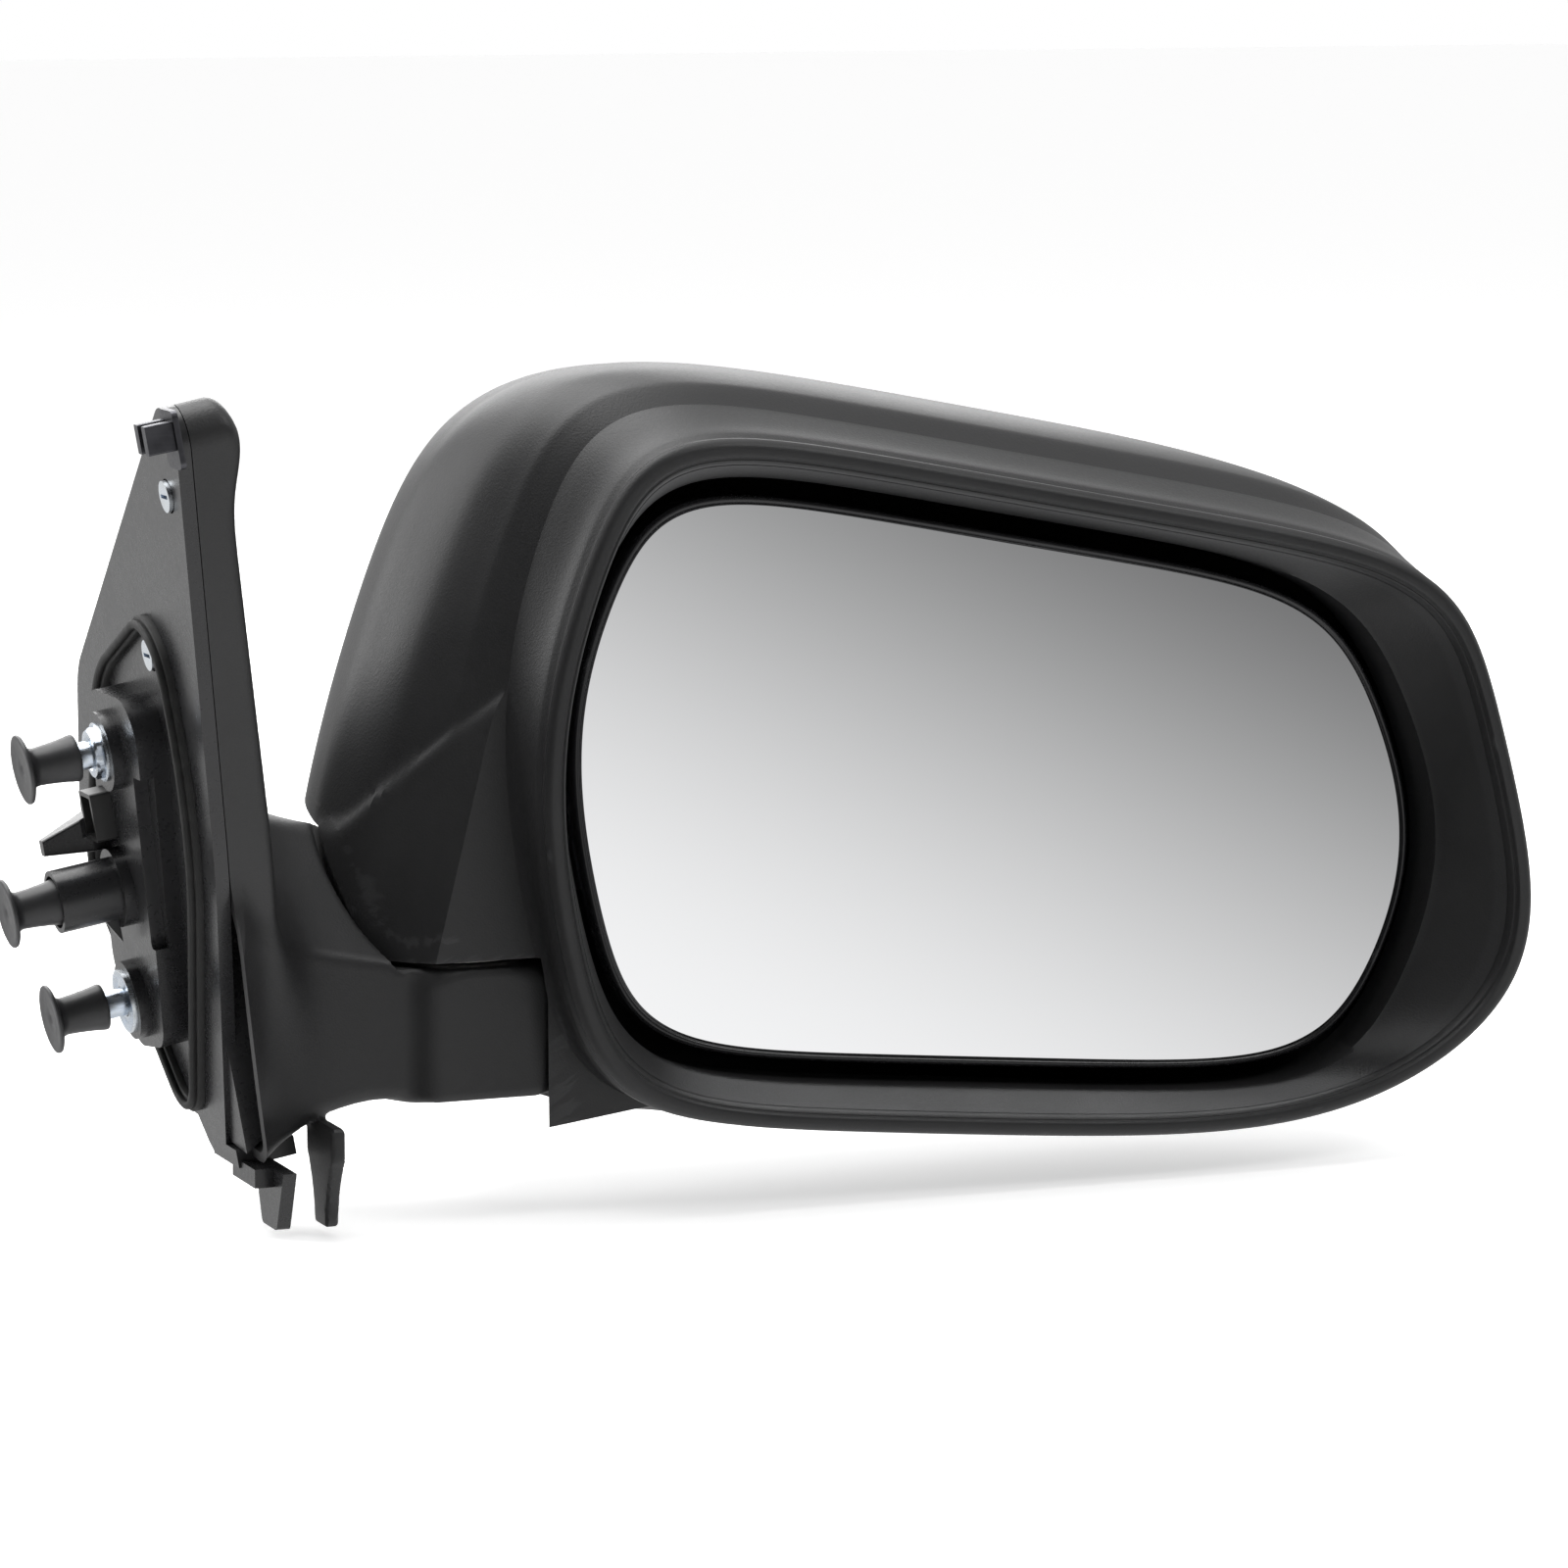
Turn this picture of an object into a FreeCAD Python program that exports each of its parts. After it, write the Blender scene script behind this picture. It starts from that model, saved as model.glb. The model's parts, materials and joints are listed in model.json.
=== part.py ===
import FreeCAD, Part
import math
import os

# Right-hand door mirror, millimetres. Origin: centroid of the three mounting studs on the seat plane
# of the base. +X points outboard, +Y forward, +Z up. The sail base leans inboard by LEAN degrees.

V = FreeCAD.Vector

# ---------------------------------------------------------------- driving dimensions
LEAN = 10.0                      # lean of the door face, top inboard
FACE_A = 9.0                     # door face of the bracket, measured outboard from the stud seat plane
PLATE_T = 3.0                    # bracket plate thickness
SKIN = 2.6                       # moulded skin thickness of cover and shell

STUD_R = 3.0                     # plain shoulder of the M6 studs
STUDS = [(-9.0, 29.5, 16.0), (2.0, -2.0, 22.5), (8.0, -28.0, 16.0)]      # y, up, free length
STUD_THREAD = 10.8               # threaded end, drawn plain at its pitch radius
STUD_THREAD_R = 2.7
STUD_ROOT_R = 3.2                # splined root in the bracket and collar
COLLARS = [2.4, 2.4, 1.0]        # height of the root or collar above the seat
CAP_FIT = 0.06                   # radial clearance of a cap on its stud
CAP_LEN = 12.2
CAP_FLANGE_R = 7.5

FOLD_X, FOLD_Y = 72.5, -13.0     # fold axis, parallel to Z
PED_R = 23.3                     # pedestal under the head
PED_TOP, PED_BOTTOM = -18.0, -47.0
FACET_Y = -33.0                  # flat rear face shared by pedestal and head
DISH_LOW, DISH_HIGH = 24.3, 29.6     # radius of the head at PED_TOP and at DISH_Z
DISH_Z = 10.0
DISH_GAP = 1.2
SWEEP_LINE = [(DISH_LOW, PED_TOP + 1.2), (DISH_HIGH, DISH_Z), (41, 17), (60, 30), (95, 30)]   # lower edge of the head

GLASS_X, GLASS_Y, GLASS_Z = 190.0, -35.0, 15.0
GLASS_R = 1400.0                 # convex radius
GLASS_T = 2.0
PIVOT_Y = -21.0                  # tilt centre, 14 behind the glass
JACK_R = 28.0                    # offset of each jack screw from the tilt centre
GLASS_GAP = 4.2                  # clear space round the glass carrier

RIM_Y = -49.0                    # rear edge of the head
NOSE_Y = 52.0                    # front of the head

# Outlines are soft polygons: (direction in degrees, distance from the centre to the side), sharpness
SOFT, REAR_SOFT = 8.0, 5.1         # firmness of the head's corners at the rim and behind it
GLASS_SIDES = [(150.0, 101.7), (79.0, 54.6), (26.7, 91.9), (-29.8, 107.0), (-95.2, 62.3), (-164.7, 96.5)]
RIM_SIDES = [(154.4, 109.1), (78.9, 61.4), (15.7, 111.0), (-58.6, 107.6), (-95.5, 70.6), (-164.8, 105.4)]

# Depth stations of the head: y, then the distance to each of the six sides in RIM_SIDES order
HEAD_STATIONS = [
    (-49.0, [114.6, 66.8, 116.2, 112.6, 75.4, 110.9]),
    (-43.0, [115.5, 68.2, 116.4, 112.5, 76.0, 111.2]),
    (-33.0, [122.0, 72.4, 116.0, 111.0, 75.6, 112.0]),
    (-28.0, [127.5, 76.6, 115.4, 112.0, 76.0, 127.0]),
    (-20.0, [134.0, 79.0, 114.6, 111.0, 75.2, 148.0]),
    (-10.0, [138.5, 80.2, 112.8, 109.0, 73.5, 162.0]),
    (0.0, [142.0, 80.0, 110.8, 106.0, 71.0, 172.0]),
]
FRONT_FULLNESS = [2.6, 2.4, 1.9, 1.9, 2.2, 2.6]
# The knuckle round the fold axis: its inboard side at the facet and at the axis, and its underside
KNUCKLE_LEFT = [(-33.0, 166.0, 117.5), (-10.0, 173.0, 140.5)]       # y, direction, distance
KNUCKLE_REST = [(-82.4, 54.5), (30.0, 40.0)]
KNUCKLE_TOP = (30.0, 2.0)        # its height above the glass centre at the facet and at the axis
RING_POINTS = 72

ACT_X0, ACT_X1, ACT_Z0, ACT_Z1 = 159.5, 236.5, -30.5, 61.5     # actuator case
ACT_FRONT, ACT_SPLIT, ACT_BACK = -14.0, 0.0, 14.0
JACK_A = (GLASS_X, GLASS_Z + JACK_R)
JACK_B = (GLASS_X + JACK_R, GLASS_Z)
WHEEL_R = 13.0
WHEEL_TEETH = 26
WORM_X_A, WORM_X_B = 173.2, 201.2
BRACKET_Y = 14.7                 # rear face of the head bracket's mounting plate
BRACKET_T = 3.8


# ---------------------------------------------------------------- helpers
def box(x0, x1, y0, y1, z0, z1):
    return Part.makeBox(x1 - x0, y1 - y0, z1 - z0, V(x0, y0, z0))


def rod(r, start, end):
    axis = V(*end) - V(*start)
    return Part.makeCylinder(r, axis.Length, V(*start), axis)


def tube(r_out, r_in, start, end):
    return rod(r_out, start, end).cut(rod(r_in, start, end))


def post(r, z0, z1, r_in=0.0):
    """Solid or hollow cylinder on the fold axis."""
    start, end = (FOLD_X, FOLD_Y, z0), (FOLD_X, FOLD_Y, z1)
    return tube(r, r_in, start, end) if r_in else rod(r, start, end)


def lean(shape):
    """Place a shape drawn in the base's own frame: X outboard from the seat plane, Z up along it."""
    leaned = shape.copy()
    leaned.rotate(V(0, 0, 0), V(0, 1, 0), -LEAN)
    return leaned


def leaned_point(a, y, up):
    c, s = math.cos(math.radians(LEAN)), math.sin(math.radians(LEAN))
    return V(a * c - up * s, y, a * s + up * c)


def fuse_all(shapes):
    return shapes[0].multiFuse(shapes[1:]).removeSplitter()


def rounded(corners, to_point):
    """Closed wire through corners (u, v, radius), each rounded by its radius."""
    count = len(corners)
    ends = []
    edges = []
    for i in range(count):
        u, v, r = corners[i]
        before = V(corners[i - 1][0] - u, corners[i - 1][1] - v, 0).normalize()
        after_i = corners[(i + 1) % count]
        after = V(after_i[0] - u, after_i[1] - v, 0).normalize()
        half = before.getAngle(after) / 2
        reach = r / math.tan(half)
        middle = (before + after).normalize() * (r / math.sin(half) - r)
        ends.append([V(u, v, 0) + d for d in (before * reach, middle, after * reach)])
    for i in range(count):
        a, m, b = [to_point(p.x, p.y) for p in ends[i]]
        c = to_point(ends[(i + 1) % count][0].x, ends[(i + 1) % count][0].y)
        edges.append(Part.Arc(a, m, b).toShape())
        edges.append(Part.makeLine(b, c))
    return Part.Wire(edges)


def base_prism(corners, a0, a1):
    """Prism of a rounded outline (y, up, radius) between two distances from the seat plane."""
    wire = rounded(corners, lambda y, up: V(a0, y, up))
    return Part.Face(wire).extrude(V(a1 - a0, 0, 0))


def soft_radius(sides, angle, power=SOFT):
    total = 0.0
    for direction, distance in sides:
        total += (max(0.0, math.cos(angle - math.radians(direction))) / distance) ** power
    return total ** (-1.0 / power)


def ring_wire(radius_of, y):
    """Closed smooth wire about the glass centre line in the plane at depth y."""
    points = []
    for i in range(RING_POINTS):
        angle = 2 * math.pi * i / RING_POINTS
        r = radius_of(angle)
        points.append(V(GLASS_X + r * math.cos(angle), y, GLASS_Z + r * math.sin(angle)))
    curve = Part.BSplineCurve()
    curve.interpolate(Points=points, PeriodicFlag=True)
    return Part.Wire(curve.toShape())


def outline_prism(sides, grow, y0, y1):
    grown = [(direction, distance + grow) for direction, distance in sides]
    wire = ring_wire(lambda angle: soft_radius(grown, angle), y0)
    return Part.Face(wire).extrude(V(0, y1 - y0, 0))


# ---------------------------------------------------------------- base: bracket, cover, arm
PLATE = [(-84, 116, 7), (33, 41, 26), (58, 0, 17), (-12, -68, 9), (-48, 5, 150)]
GASKET = [(-45, 66, 14), (10, 45, 40), (49, -7, 13), (0, -61, 11), (-45, 14, 90)]
ISLAND = [(-33, 42, 9), (2, 42, 10), (24, -22, 12), (16, -40, 8), (-6, -37, 8)]
GASKET_W, GASKET_H = 3.2, 3.0
COVER_TILT = 1.7                 # the cover opens away from the bracket towards the bottom
COVER_A = 12.2
COVER_H = 7.2
SCREWS = [(-66.0, 88.0), (31.0, 24.0), (-30.0, 51.0)]
BOSS_R = 3.4
PEG = (11.0, 9.5)
CONNECTOR = (4.0, 14.0)
CORE_GAP = 1.0                   # clear space between the cover's skin and the bracket's arm inside it
HARNESS_R = 2.2
HARNESS_A = 12.4                 # where the cable leaves the connector's pins
HARNESS_BEND_Z = -28.0           # from here up the base harness runs on the fold axis
HARNESS_TOP = 40.0


def block(y, up, half_y, half_up, r):
    """Corners of a rectangle with its centre at (y, up) and corner radius r."""
    return [(y - half_y, up - half_up, r), (y + half_y, up - half_up, r),
            (y + half_y, up + half_up, r), (y - half_y, up + half_up, r)]


def inset(corners, amount, a):
    wire = rounded(corners, lambda y, up: V(a, y, up))
    return wire.makeOffset2D(-amount) if amount else wire


def dome(amount, a0, a1, crown):
    """Plate-shaped dome between a0 and a1; its edge is rounded over by crown."""
    levels = [(a0, amount), (a1 - crown, amount), (a1 - 0.3 * crown, amount + 0.45 * crown)]
    levels.append((a1, amount + 1.5 * crown))
    wires = [inset(PLATE, step, a) for a, step in levels]
    solid = Part.makeLoft(wires, True, True)
    solid.rotate(V(COVER_A, 0, 112), V(0, 1, 0), -COVER_TILT)
    return solid


# Arm sections: x, then (y, z, radius) of the rear foot, rear ridge, top rear, top front and front foot
ARM = [
    (14.0, [(-46, -66, 6), (-47, -4, 7), (-20, 27, 12), (20, 25, 12), (36, -60, 12)]),
    (22.0, [(-37, -58, 6), (-37, -8, 6), (-10, 19, 11), (16, 17, 10), (26, -53, 11)]),
    (32.0, [(-32, -51, 4), (-32, -12, 5), (-5, 14, 10), (13, 12, 9), (18, -48, 9)]),
    (46.0, [(-30, -46.5, 3), (-30, -15.5, 4), (-3, 10, 8), (10, 8, 8), (14, -46.5, 8)]),
    (62.0, [(-31, -47, 3), (-31, -18, 4), (0, 8, 7), (9, 6, 6), (10, -47, 8)]),
]


def arm(inner):
    wires = []
    for x, corners in ARM:
        wire = rounded(corners, lambda y, z: V(x, y, z))
        wires.append(wire.makeOffset2D(-inner) if inner else wire)
    return Part.makeLoft(wires, True, False)


def pedestal(inner):
    solid = post(PED_R - inner, PED_BOTTOM + inner, PED_TOP - inner)
    edge = [e for e in solid.Edges if abs(e.BoundBox.ZMin - (PED_TOP - inner)) < 1e-3]
    solid = solid.makeFillet(max(1.0, 5.0 - inner), [e for e in edge if e.Closed])
    return solid.cut(box(0, 150, -100, FACET_Y + inner, -100, 0))


def dish(gap):
    """Surface of revolution that the head's lower inboard end keeps inside."""
    low, high = DISH_LOW + gap, DISH_HIGH + gap
    profile = [V(0, 0, PED_TOP), V(low, 0, PED_TOP), V(high, 0, DISH_Z), V(high, 0, 60), V(0, 0, 60)]
    face = Part.Face(Part.makePolygon(profile + [profile[0]]))
    solid = face.revolve(V(0, 0, 0), V(0, 0, 1), 360)
    solid.translate(V(FOLD_X, FOLD_Y, 0))
    return solid


def sweep(points, r, start_way, end_way):
    """Round cable through points; it leaves the first and reaches the last along the given ways."""
    curve = Part.BSplineCurve()
    curve.interpolate(Points=points, InitialTangent=start_way, FinalTangent=end_way)
    path = Part.Wire(curve.toShape())
    ring = Part.Wire(Part.makeCircle(r, points[0], start_way))
    return path.makePipeShell([ring], True, True)


def harness_run(r):
    """Cable through the arm from behind the connector, then straight up the fold axis."""
    start = leaned_point(HARNESS_A, *CONNECTOR)
    bend = V(FOLD_X, FOLD_Y, HARNESS_BEND_Z)
    points = [start, V(20, 0, 2), V(36, -6, -22), V(52, -11, -36), V(64, -12.6, -38), bend]
    outboard = leaned_point(1, 0, 0)
    return sweep(points, r, outboard, V(0, 0, 1)).fuse(post(r, HARNESS_BEND_Z, HARNESS_TOP)).removeSplitter()


def bracket_outer():
    """Everything outboard of the bracket's back plane, where the cover may stand."""
    return lean(box(COVER_A, 120, -150, 150, -150, 160))


def tail(x0, x1, y0, y1, top, bottom, cut_top):
    """Short tongue below the base, cut off flat at its wide upper end."""
    wire = rounded([(y0, bottom, 1.5), (y1, bottom, 1.5), (y1 + 6, top, 2), (y0 - 6, top, 2)],
                   lambda y, z: V(x0, y, z))
    return Part.Face(wire).extrude(V(x1 - x0, 0, 0)).common(box(0, 90, -90, 90, bottom, cut_top))


def bracket_tongue(grow):
    """Foot of the bracket and its bridge from the plate; grow gives the slot the cover leaves for it."""
    bridge = lean(box(FACE_A, 22 + grow, -24 - grow, -6 + grow, -62 - grow, -58 + grow))
    bridge = bridge.fuse(box(20 - grow, 27 + grow, -34 - grow, -18 + grow, -62 - grow, -58 + grow))
    return bridge.fuse(tail(24 - grow, 27 + grow, -36 - grow, -26 + grow, -56, -71, -58))


def base_bracket():
    plate = base_prism(PLATE, FACE_A, FACE_A + PLATE_T)
    island = base_prism(ISLAND, 2.5, FACE_A)
    island = island.cut(base_prism([(-40, 25, 1), (-22, 25, 1), (-11, -14, 1), (-40, -14, 1)], 0, 5.5))
    solids = [plate, island]
    for y, up, length in STUDS:
        solids.append(rod(8.6, (0, y, up), (FACE_A, y, up)))
    y, up = STUDS[1][:2]
    sleeve = rod(6.8, (-13.2, y, up), (1, y, up))
    gusset = Part.Face(Part.makePolygon([V(0, y, up - 5), V(-4, y, up - 5), V(0, y, up - 12), V(0, y, up - 5)]))
    solids += [sleeve, gusset.extrude(V(0, 1.6, 0))]
    solids.append(peg_wedge())
    solids.append(base_prism(block(*CONNECTOR, 6, 7, 1), 3.0, FACE_A))
    base = lean(fuse_all(solids))
    core = arm(SKIN + CORE_GAP).fuse(post(PED_R - 4.2, PED_BOTTOM + 4.2, FLANGE_Z))
    core = core.cut(box(0, 150, -100, FACET_Y + 4.2, -100, 0))
    wall = DISH_GAP + SKIN + CORE_GAP
    core = core.cut(dish(wall)).cut(post(DISH_LOW + wall, PED_TOP - SKIN - CORE_GAP, PED_TOP))
    core = core.cut(post(FLANGE_R + 0.4, FLANGE_Z, PED_TOP))
    core = core.common(lean(box(FACE_A + 1, 150, -100, 100, -100, 100)))
    body = base.fuse(core).fuse(bracket_tongue(0.0))
    sleeve_bore = lean(rod(5.7, (-20, y, up), (0, y, up)))
    body = body.cut(sleeve_bore)
    for y, up, length in STUDS:
        body = body.cut(lean(rod(STUD_ROOT_R, (-1, y, up), (FACE_A + 3, y, up))))
        body = body.cut(lean(rod(5.6, (FACE_A - 1.4, y, up), (FACE_A + 3.2, y, up))))
    body = body.cut(lean(base_prism(block(*CONNECTOR, 4.4, 5.4, 1), -3, 14)))
    for y, up in SCREWS:
        body = body.cut(lean(rod(1.6, (0, y, up), (FACE_A + 5, y, up))))
        body = body.cut(lean(rod(3.6, (0, y, up), (FACE_A + 1.2, y, up))))
        body = body.cut(lean(rod(BOSS_R + CORE_GAP, (FACE_A + PLATE_T, y, up), (30, y, up))))
    body = body.cut(harness_run(HARNESS_R + 1.2))
    body = body.cut(post(5.2, -60, -20))
    for x, y in post_screw_spots():
        body = body.cut(rod(1.5, (x, y, -40), (x, y, -20)))
    return body


def peg_wedge():
    """Tapered locating peg beside the connector."""
    y, up = PEG
    wires = []
    for a, half_y, half_up in ((FACE_A, 3.6, 4.4), (-1.0, 3.4, 4.0), (-11.5, 1.4, 1.7)):
        shift = -1.3 if a < -5 else 0.0
        wires.append(rounded(block(y, up + shift, half_y, half_up, 0.6), lambda u, v: V(a, u, v)))
    return Part.makeLoft(wires, True, True)


def base_cover():
    outer = lean(dome(0.0, COVER_A, COVER_A + COVER_H, 3.0))
    solid = outer.fuse(arm(0).common(bracket_outer())).fuse(pedestal(0))
    solid = solid.fuse(tail(34.5, 37.3, -38, -29, -52, -71, -50))
    hollow = lean(dome(SKIN, COVER_A - 6, COVER_A + COVER_H - SKIN, 2.0))
    solid = solid.cut(hollow).cut(arm(SKIN)).cut(pedestal(SKIN)).cut(dish(DISH_GAP))
    solid = solid.fuse(rim_of_dish())
    solid = solid.common(bracket_outer()).cut(bracket_tongue(CORE_GAP))
    solid = solid.cut(post(9.4, -30, -10)).cut(post(9.0, -60, -40))
    for y, up in SCREWS:
        boss = lean(rod(BOSS_R, (COVER_A + 0.1, y, up), (COVER_A + COVER_H, y, up))).common(outer)
        solid = solid.fuse(boss).cut(lean(rod(1.5, (COVER_A - 1, y, up), (COVER_A + 3.4, y, up))))
    return largest(solid)


def rim_of_dish():
    """Skin that closes the arm under the dish."""
    wall = dish(DISH_GAP + SKIN).cut(dish(DISH_GAP))
    floor = post(DISH_LOW + DISH_GAP + SKIN, PED_TOP - SKIN, PED_TOP)
    return wall.fuse(floor).common(arm(0).fuse(pedestal(0)))


def largest(shape):
    return max(shape.Solids, key=lambda s: s.Volume)


def door_gasket():
    outer = base_prism(GASKET, FACE_A - GASKET_H, FACE_A)
    wire = inset(GASKET, GASKET_W, FACE_A - GASKET_H)
    return lean(outer.cut(Part.Face(wire).extrude(V(GASKET_H, 0, 0))))


def mounting_studs():
    studs = []
    for (y, up, length), collar in zip(STUDS, COLLARS):
        stud = rod(STUD_R, (-length + STUD_THREAD, y, up), (-collar, y, up))
        thread = rod(STUD_THREAD_R, (-length + 1, y, up), (-length + STUD_THREAD, y, up))
        tip = Part.makeCone(STUD_THREAD_R - 0.6, STUD_THREAD_R, 1.0, V(-length, y, up), V(1, 0, 0))
        root = rod(STUD_ROOT_R, (-collar, y, up), (FACE_A - 1.4, y, up))
        head = rod(5.6, (FACE_A - 1.4, y, up), (FACE_A + 2.4, y, up))
        studs.append(lean(fuse_all([stud, thread, tip, root, head])))
    return Part.makeCompound(studs)


def stud_collars():
    """Zinc hexagon collar on the upper stud and thin push-on ring on the lower one."""
    y, up, length = STUDS[0]
    corner = 5.0 / math.cos(math.radians(30))
    points = [V(-COLLARS[0], y + corner * math.cos(math.radians(60 * i)),
                up + corner * math.sin(math.radians(60 * i))) for i in range(7)]
    nut = Part.Face(Part.makePolygon(points)).extrude(V(COLLARS[0], 0, 0))
    nut = nut.fuse(rod(6.4, (-0.8, y, up), (0, y, up)))
    nut = nut.cut(rod(STUD_ROOT_R, (-4, y, up), (1, y, up)))
    y, up, length = STUDS[2]
    ring = tube(7.0, STUD_ROOT_R, (-COLLARS[2], y, up), (0, y, up))
    return Part.makeCompound([lean(nut), lean(ring)])


def stud_cap(index):
    """Push-on cap: thin disc, tapering barrel, blind bore on the stud's thread."""
    y, up, length = STUDS[index]
    tip = -length - 1.6
    mouth = tip + CAP_LEN
    barrel = Part.makeCone(4.0, 5.0, CAP_LEN - 1.0, V(tip + 1.0, y, up), V(1, 0, 0))
    disc = rod(CAP_FLANGE_R, (tip, y, up), (tip + 1.0, y, up))
    bore = rod(STUD_THREAD_R + CAP_FIT, (-length - 0.3, y, up), (mouth + 1, y, up))
    return lean(barrel.fuse(disc).cut(bore).removeSplitter())


def connector_shell():
    outer = base_prism(block(*CONNECTOR, 4.3, 5.3, 0.8), -2.0, 11.0)
    shell = outer.cut(base_prism(block(*CONNECTOR, 3.3, 4.3, 0.5), -3.0, 8.6))
    for spot_y, spot_up in pin_spots():
        shell = shell.cut(rod(0.5, (0, spot_y, spot_up), (12, spot_y, spot_up)))
    return lean(shell)


def pin_spots():
    y, up = CONNECTOR
    return [(y + dy, up + du) for dy in (-1.6, 1.6) for du in (-2.6, 0.0, 2.6)]


def connector_pins():
    return Part.makeCompound([lean(rod(0.48, (1.0, y, up), (11.4, y, up))) for y, up in pin_spots()])


def base_harness():
    return harness_run(HARNESS_R)


def sail_clip():
    """Forked retaining clip at the top of the sail."""
    y, up = -79.0, 103.0
    plate = base_prism(block(y - 0.5, up - 2, 4.5, 6, 1.5), FACE_A - 1.2, FACE_A)
    prongs = [base_prism(block(y + d, up - 1, 1.2, 3, 0.4), FACE_A - 7, FACE_A - 1.2) for d in (-3.0, 2.2)]
    return lean(fuse_all([plate] + prongs))


def cover_screws():
    screws = []
    for y, up in SCREWS:
        head = rod(3.3, (FACE_A - 0.9, y, up), (FACE_A + 1.1, y, up))
        slot = box(FACE_A - 1.5, FACE_A, y - 2.2, y + 2.2, up - 0.4, up + 0.4)
        screws.append(lean(head.fuse(rod(1.45, (FACE_A + 1, y, up), (COVER_A + 3.2, y, up))).cut(slot)))
    return Part.makeCompound(screws)


# ---------------------------------------------------------------- fold joint stack
POST_R, POST_BORE, POST_TOP = 8.0, 5.0, 42.0
HUB_LOW, HUB_TOP = -13.6, 4.0
HUB_R, WASHER_R = 15.2, 13.4
FLANGE_Z, FLANGE_R = -26.0, 14.5
SPRING_LOW, SPRING_TOP = 6.3, 33.8
SPRING_WIRE, SPRING_R, SPRING_TURNS = 1.4, 11.0, 4.5
RING_Z = 37.2


def post_screw_spots():
    return [(FOLD_X + 11.6 * math.cos(math.radians(a)), FOLD_Y + 11.6 * math.sin(math.radians(a)))
            for a in (30, 150, 270)]


def pivot_post():
    solid = post(POST_R, FLANGE_Z, POST_TOP).fuse(post(FLANGE_R, FLANGE_Z, FLANGE_Z + 3)).cut(post(POST_BORE, -60, 60))
    groove = post(POST_R + 1, RING_Z, RING_Z + 1.5, POST_R - 0.9)
    solid = solid.cut(groove)
    for x, y in post_screw_spots():
        solid = solid.cut(rod(1.6, (x, y, -30), (x, y, -20)))
    return solid


def post_screws():
    return Part.makeCompound([rod(2.6, (x, y, -23), (x, y, -21.2)).fuse(rod(1.45, (x, y, -38), (x, y, -22.9)))
                              for x, y in post_screw_spots()])


def glide_washer():
    return post(15.0, PED_TOP + 0.1, PED_TOP + 1.1, POST_R + 0.1)


def spring_washer():
    return post(WASHER_R, HUB_TOP + 0.1, SPRING_LOW - 0.1, POST_R + 0.1)


def pivot_spring():
    pitch = (SPRING_TOP - SPRING_LOW - 2 * SPRING_WIRE) / SPRING_TURNS
    helix = Part.makeHelix(pitch, pitch * SPRING_TURNS, SPRING_R)
    start = V(SPRING_R, 0, 0)
    ring = Part.Wire(Part.makeCircle(SPRING_WIRE, start, V(0, 1, pitch / (2 * math.pi * SPRING_R))))
    coil = Part.Wire(helix).makePipeShell([ring], True, True)
    coil.translate(V(FOLD_X, FOLD_Y, SPRING_LOW + SPRING_WIRE))
    return coil


def spring_cap():
    return post(WASHER_R, SPRING_TOP + 0.1, RING_Z - 0.05, POST_R + 0.1)


def retaining_ring():
    ring = post(11.0, RING_Z + 0.05, RING_Z + 1.45, POST_R - 0.85)
    return ring.cut(box(FOLD_X, FOLD_X + 30, FOLD_Y - 2.5, FOLD_Y + 2.5, 0, 60))


def bottom_plug():
    return post(11.0, PED_BOTTOM - 1.0, PED_BOTTOM).fuse(post(8.9, PED_BOTTOM, PED_BOTTOM + 3, 7.4))


# ---------------------------------------------------------------- head shell
def head_sides(y):
    """Distances of the six sides of the head at depth y."""
    if y >= 0.0:
        t = min(y / NOSE_Y, 0.999)
        base = HEAD_STATIONS[-1][1]
        return [d * math.sqrt(1.0 - t ** full) for d, full in zip(base, FRONT_FULLNESS)]
    last = len(HEAD_STATIONS) - 1
    i = max(k for k in range(last) if y >= HEAD_STATIONS[k][0] or k == 0)
    picks = [HEAD_STATIONS[max(0, min(last, i + k))] for k in (-1, 0, 1, 2)]
    t = (y - picks[1][0]) / (picks[2][0] - picks[1][0])
    sides = []
    for p0, p1, p2, p3 in zip(*[pick[1] for pick in picks]):
        bend = (2 * p0 - 5 * p1 + 4 * p2 - p3) * t ** 2 + (3 * p1 - p0 - 3 * p2 + p3) * t ** 3
        sides.append(p1 + 0.5 * ((p2 - p0) * t + bend))
    return sides


def firmness(y):
    share = min(1.0, max(0.0, (y - FACET_Y) / -FACET_Y))
    return SOFT + (REAR_SOFT - SOFT) * share


def head_radius(angle, y, wall):
    sides = [(RIM_SIDES[i][0], d - wall) for i, d in enumerate(head_sides(y))]
    return soft_radius(sides, angle, firmness(y))


def knuckle_radius(angle, y):
    (y0, dir0, d0), (y1, dir1, d1) = KNUCKLE_LEFT
    t = math.sin(min(1.0, max(0.0, (y - y0) / (y1 - y0))) * math.pi / 2)
    shrink = math.sqrt(1.0 - (max(0.0, y - y1) / (NOSE_Y - y1)) ** 2.0)
    left = (dir0 + (dir1 - dir0) * t, (d0 + (d1 - d0) * t) * shrink)
    top = (90.0, (KNUCKLE_TOP[0] + (KNUCKLE_TOP[1] - KNUCKLE_TOP[0]) * t) * shrink)
    rest = [(direction, distance * shrink) for direction, distance in KNUCKLE_REST]
    return soft_radius([left, top] + rest, angle, 14.0)


def loft_rings(radius_of, depths):
    return Part.makeLoft([ring_wire(lambda angle: radius_of(angle, y), y) for y in depths], True, False)


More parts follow.
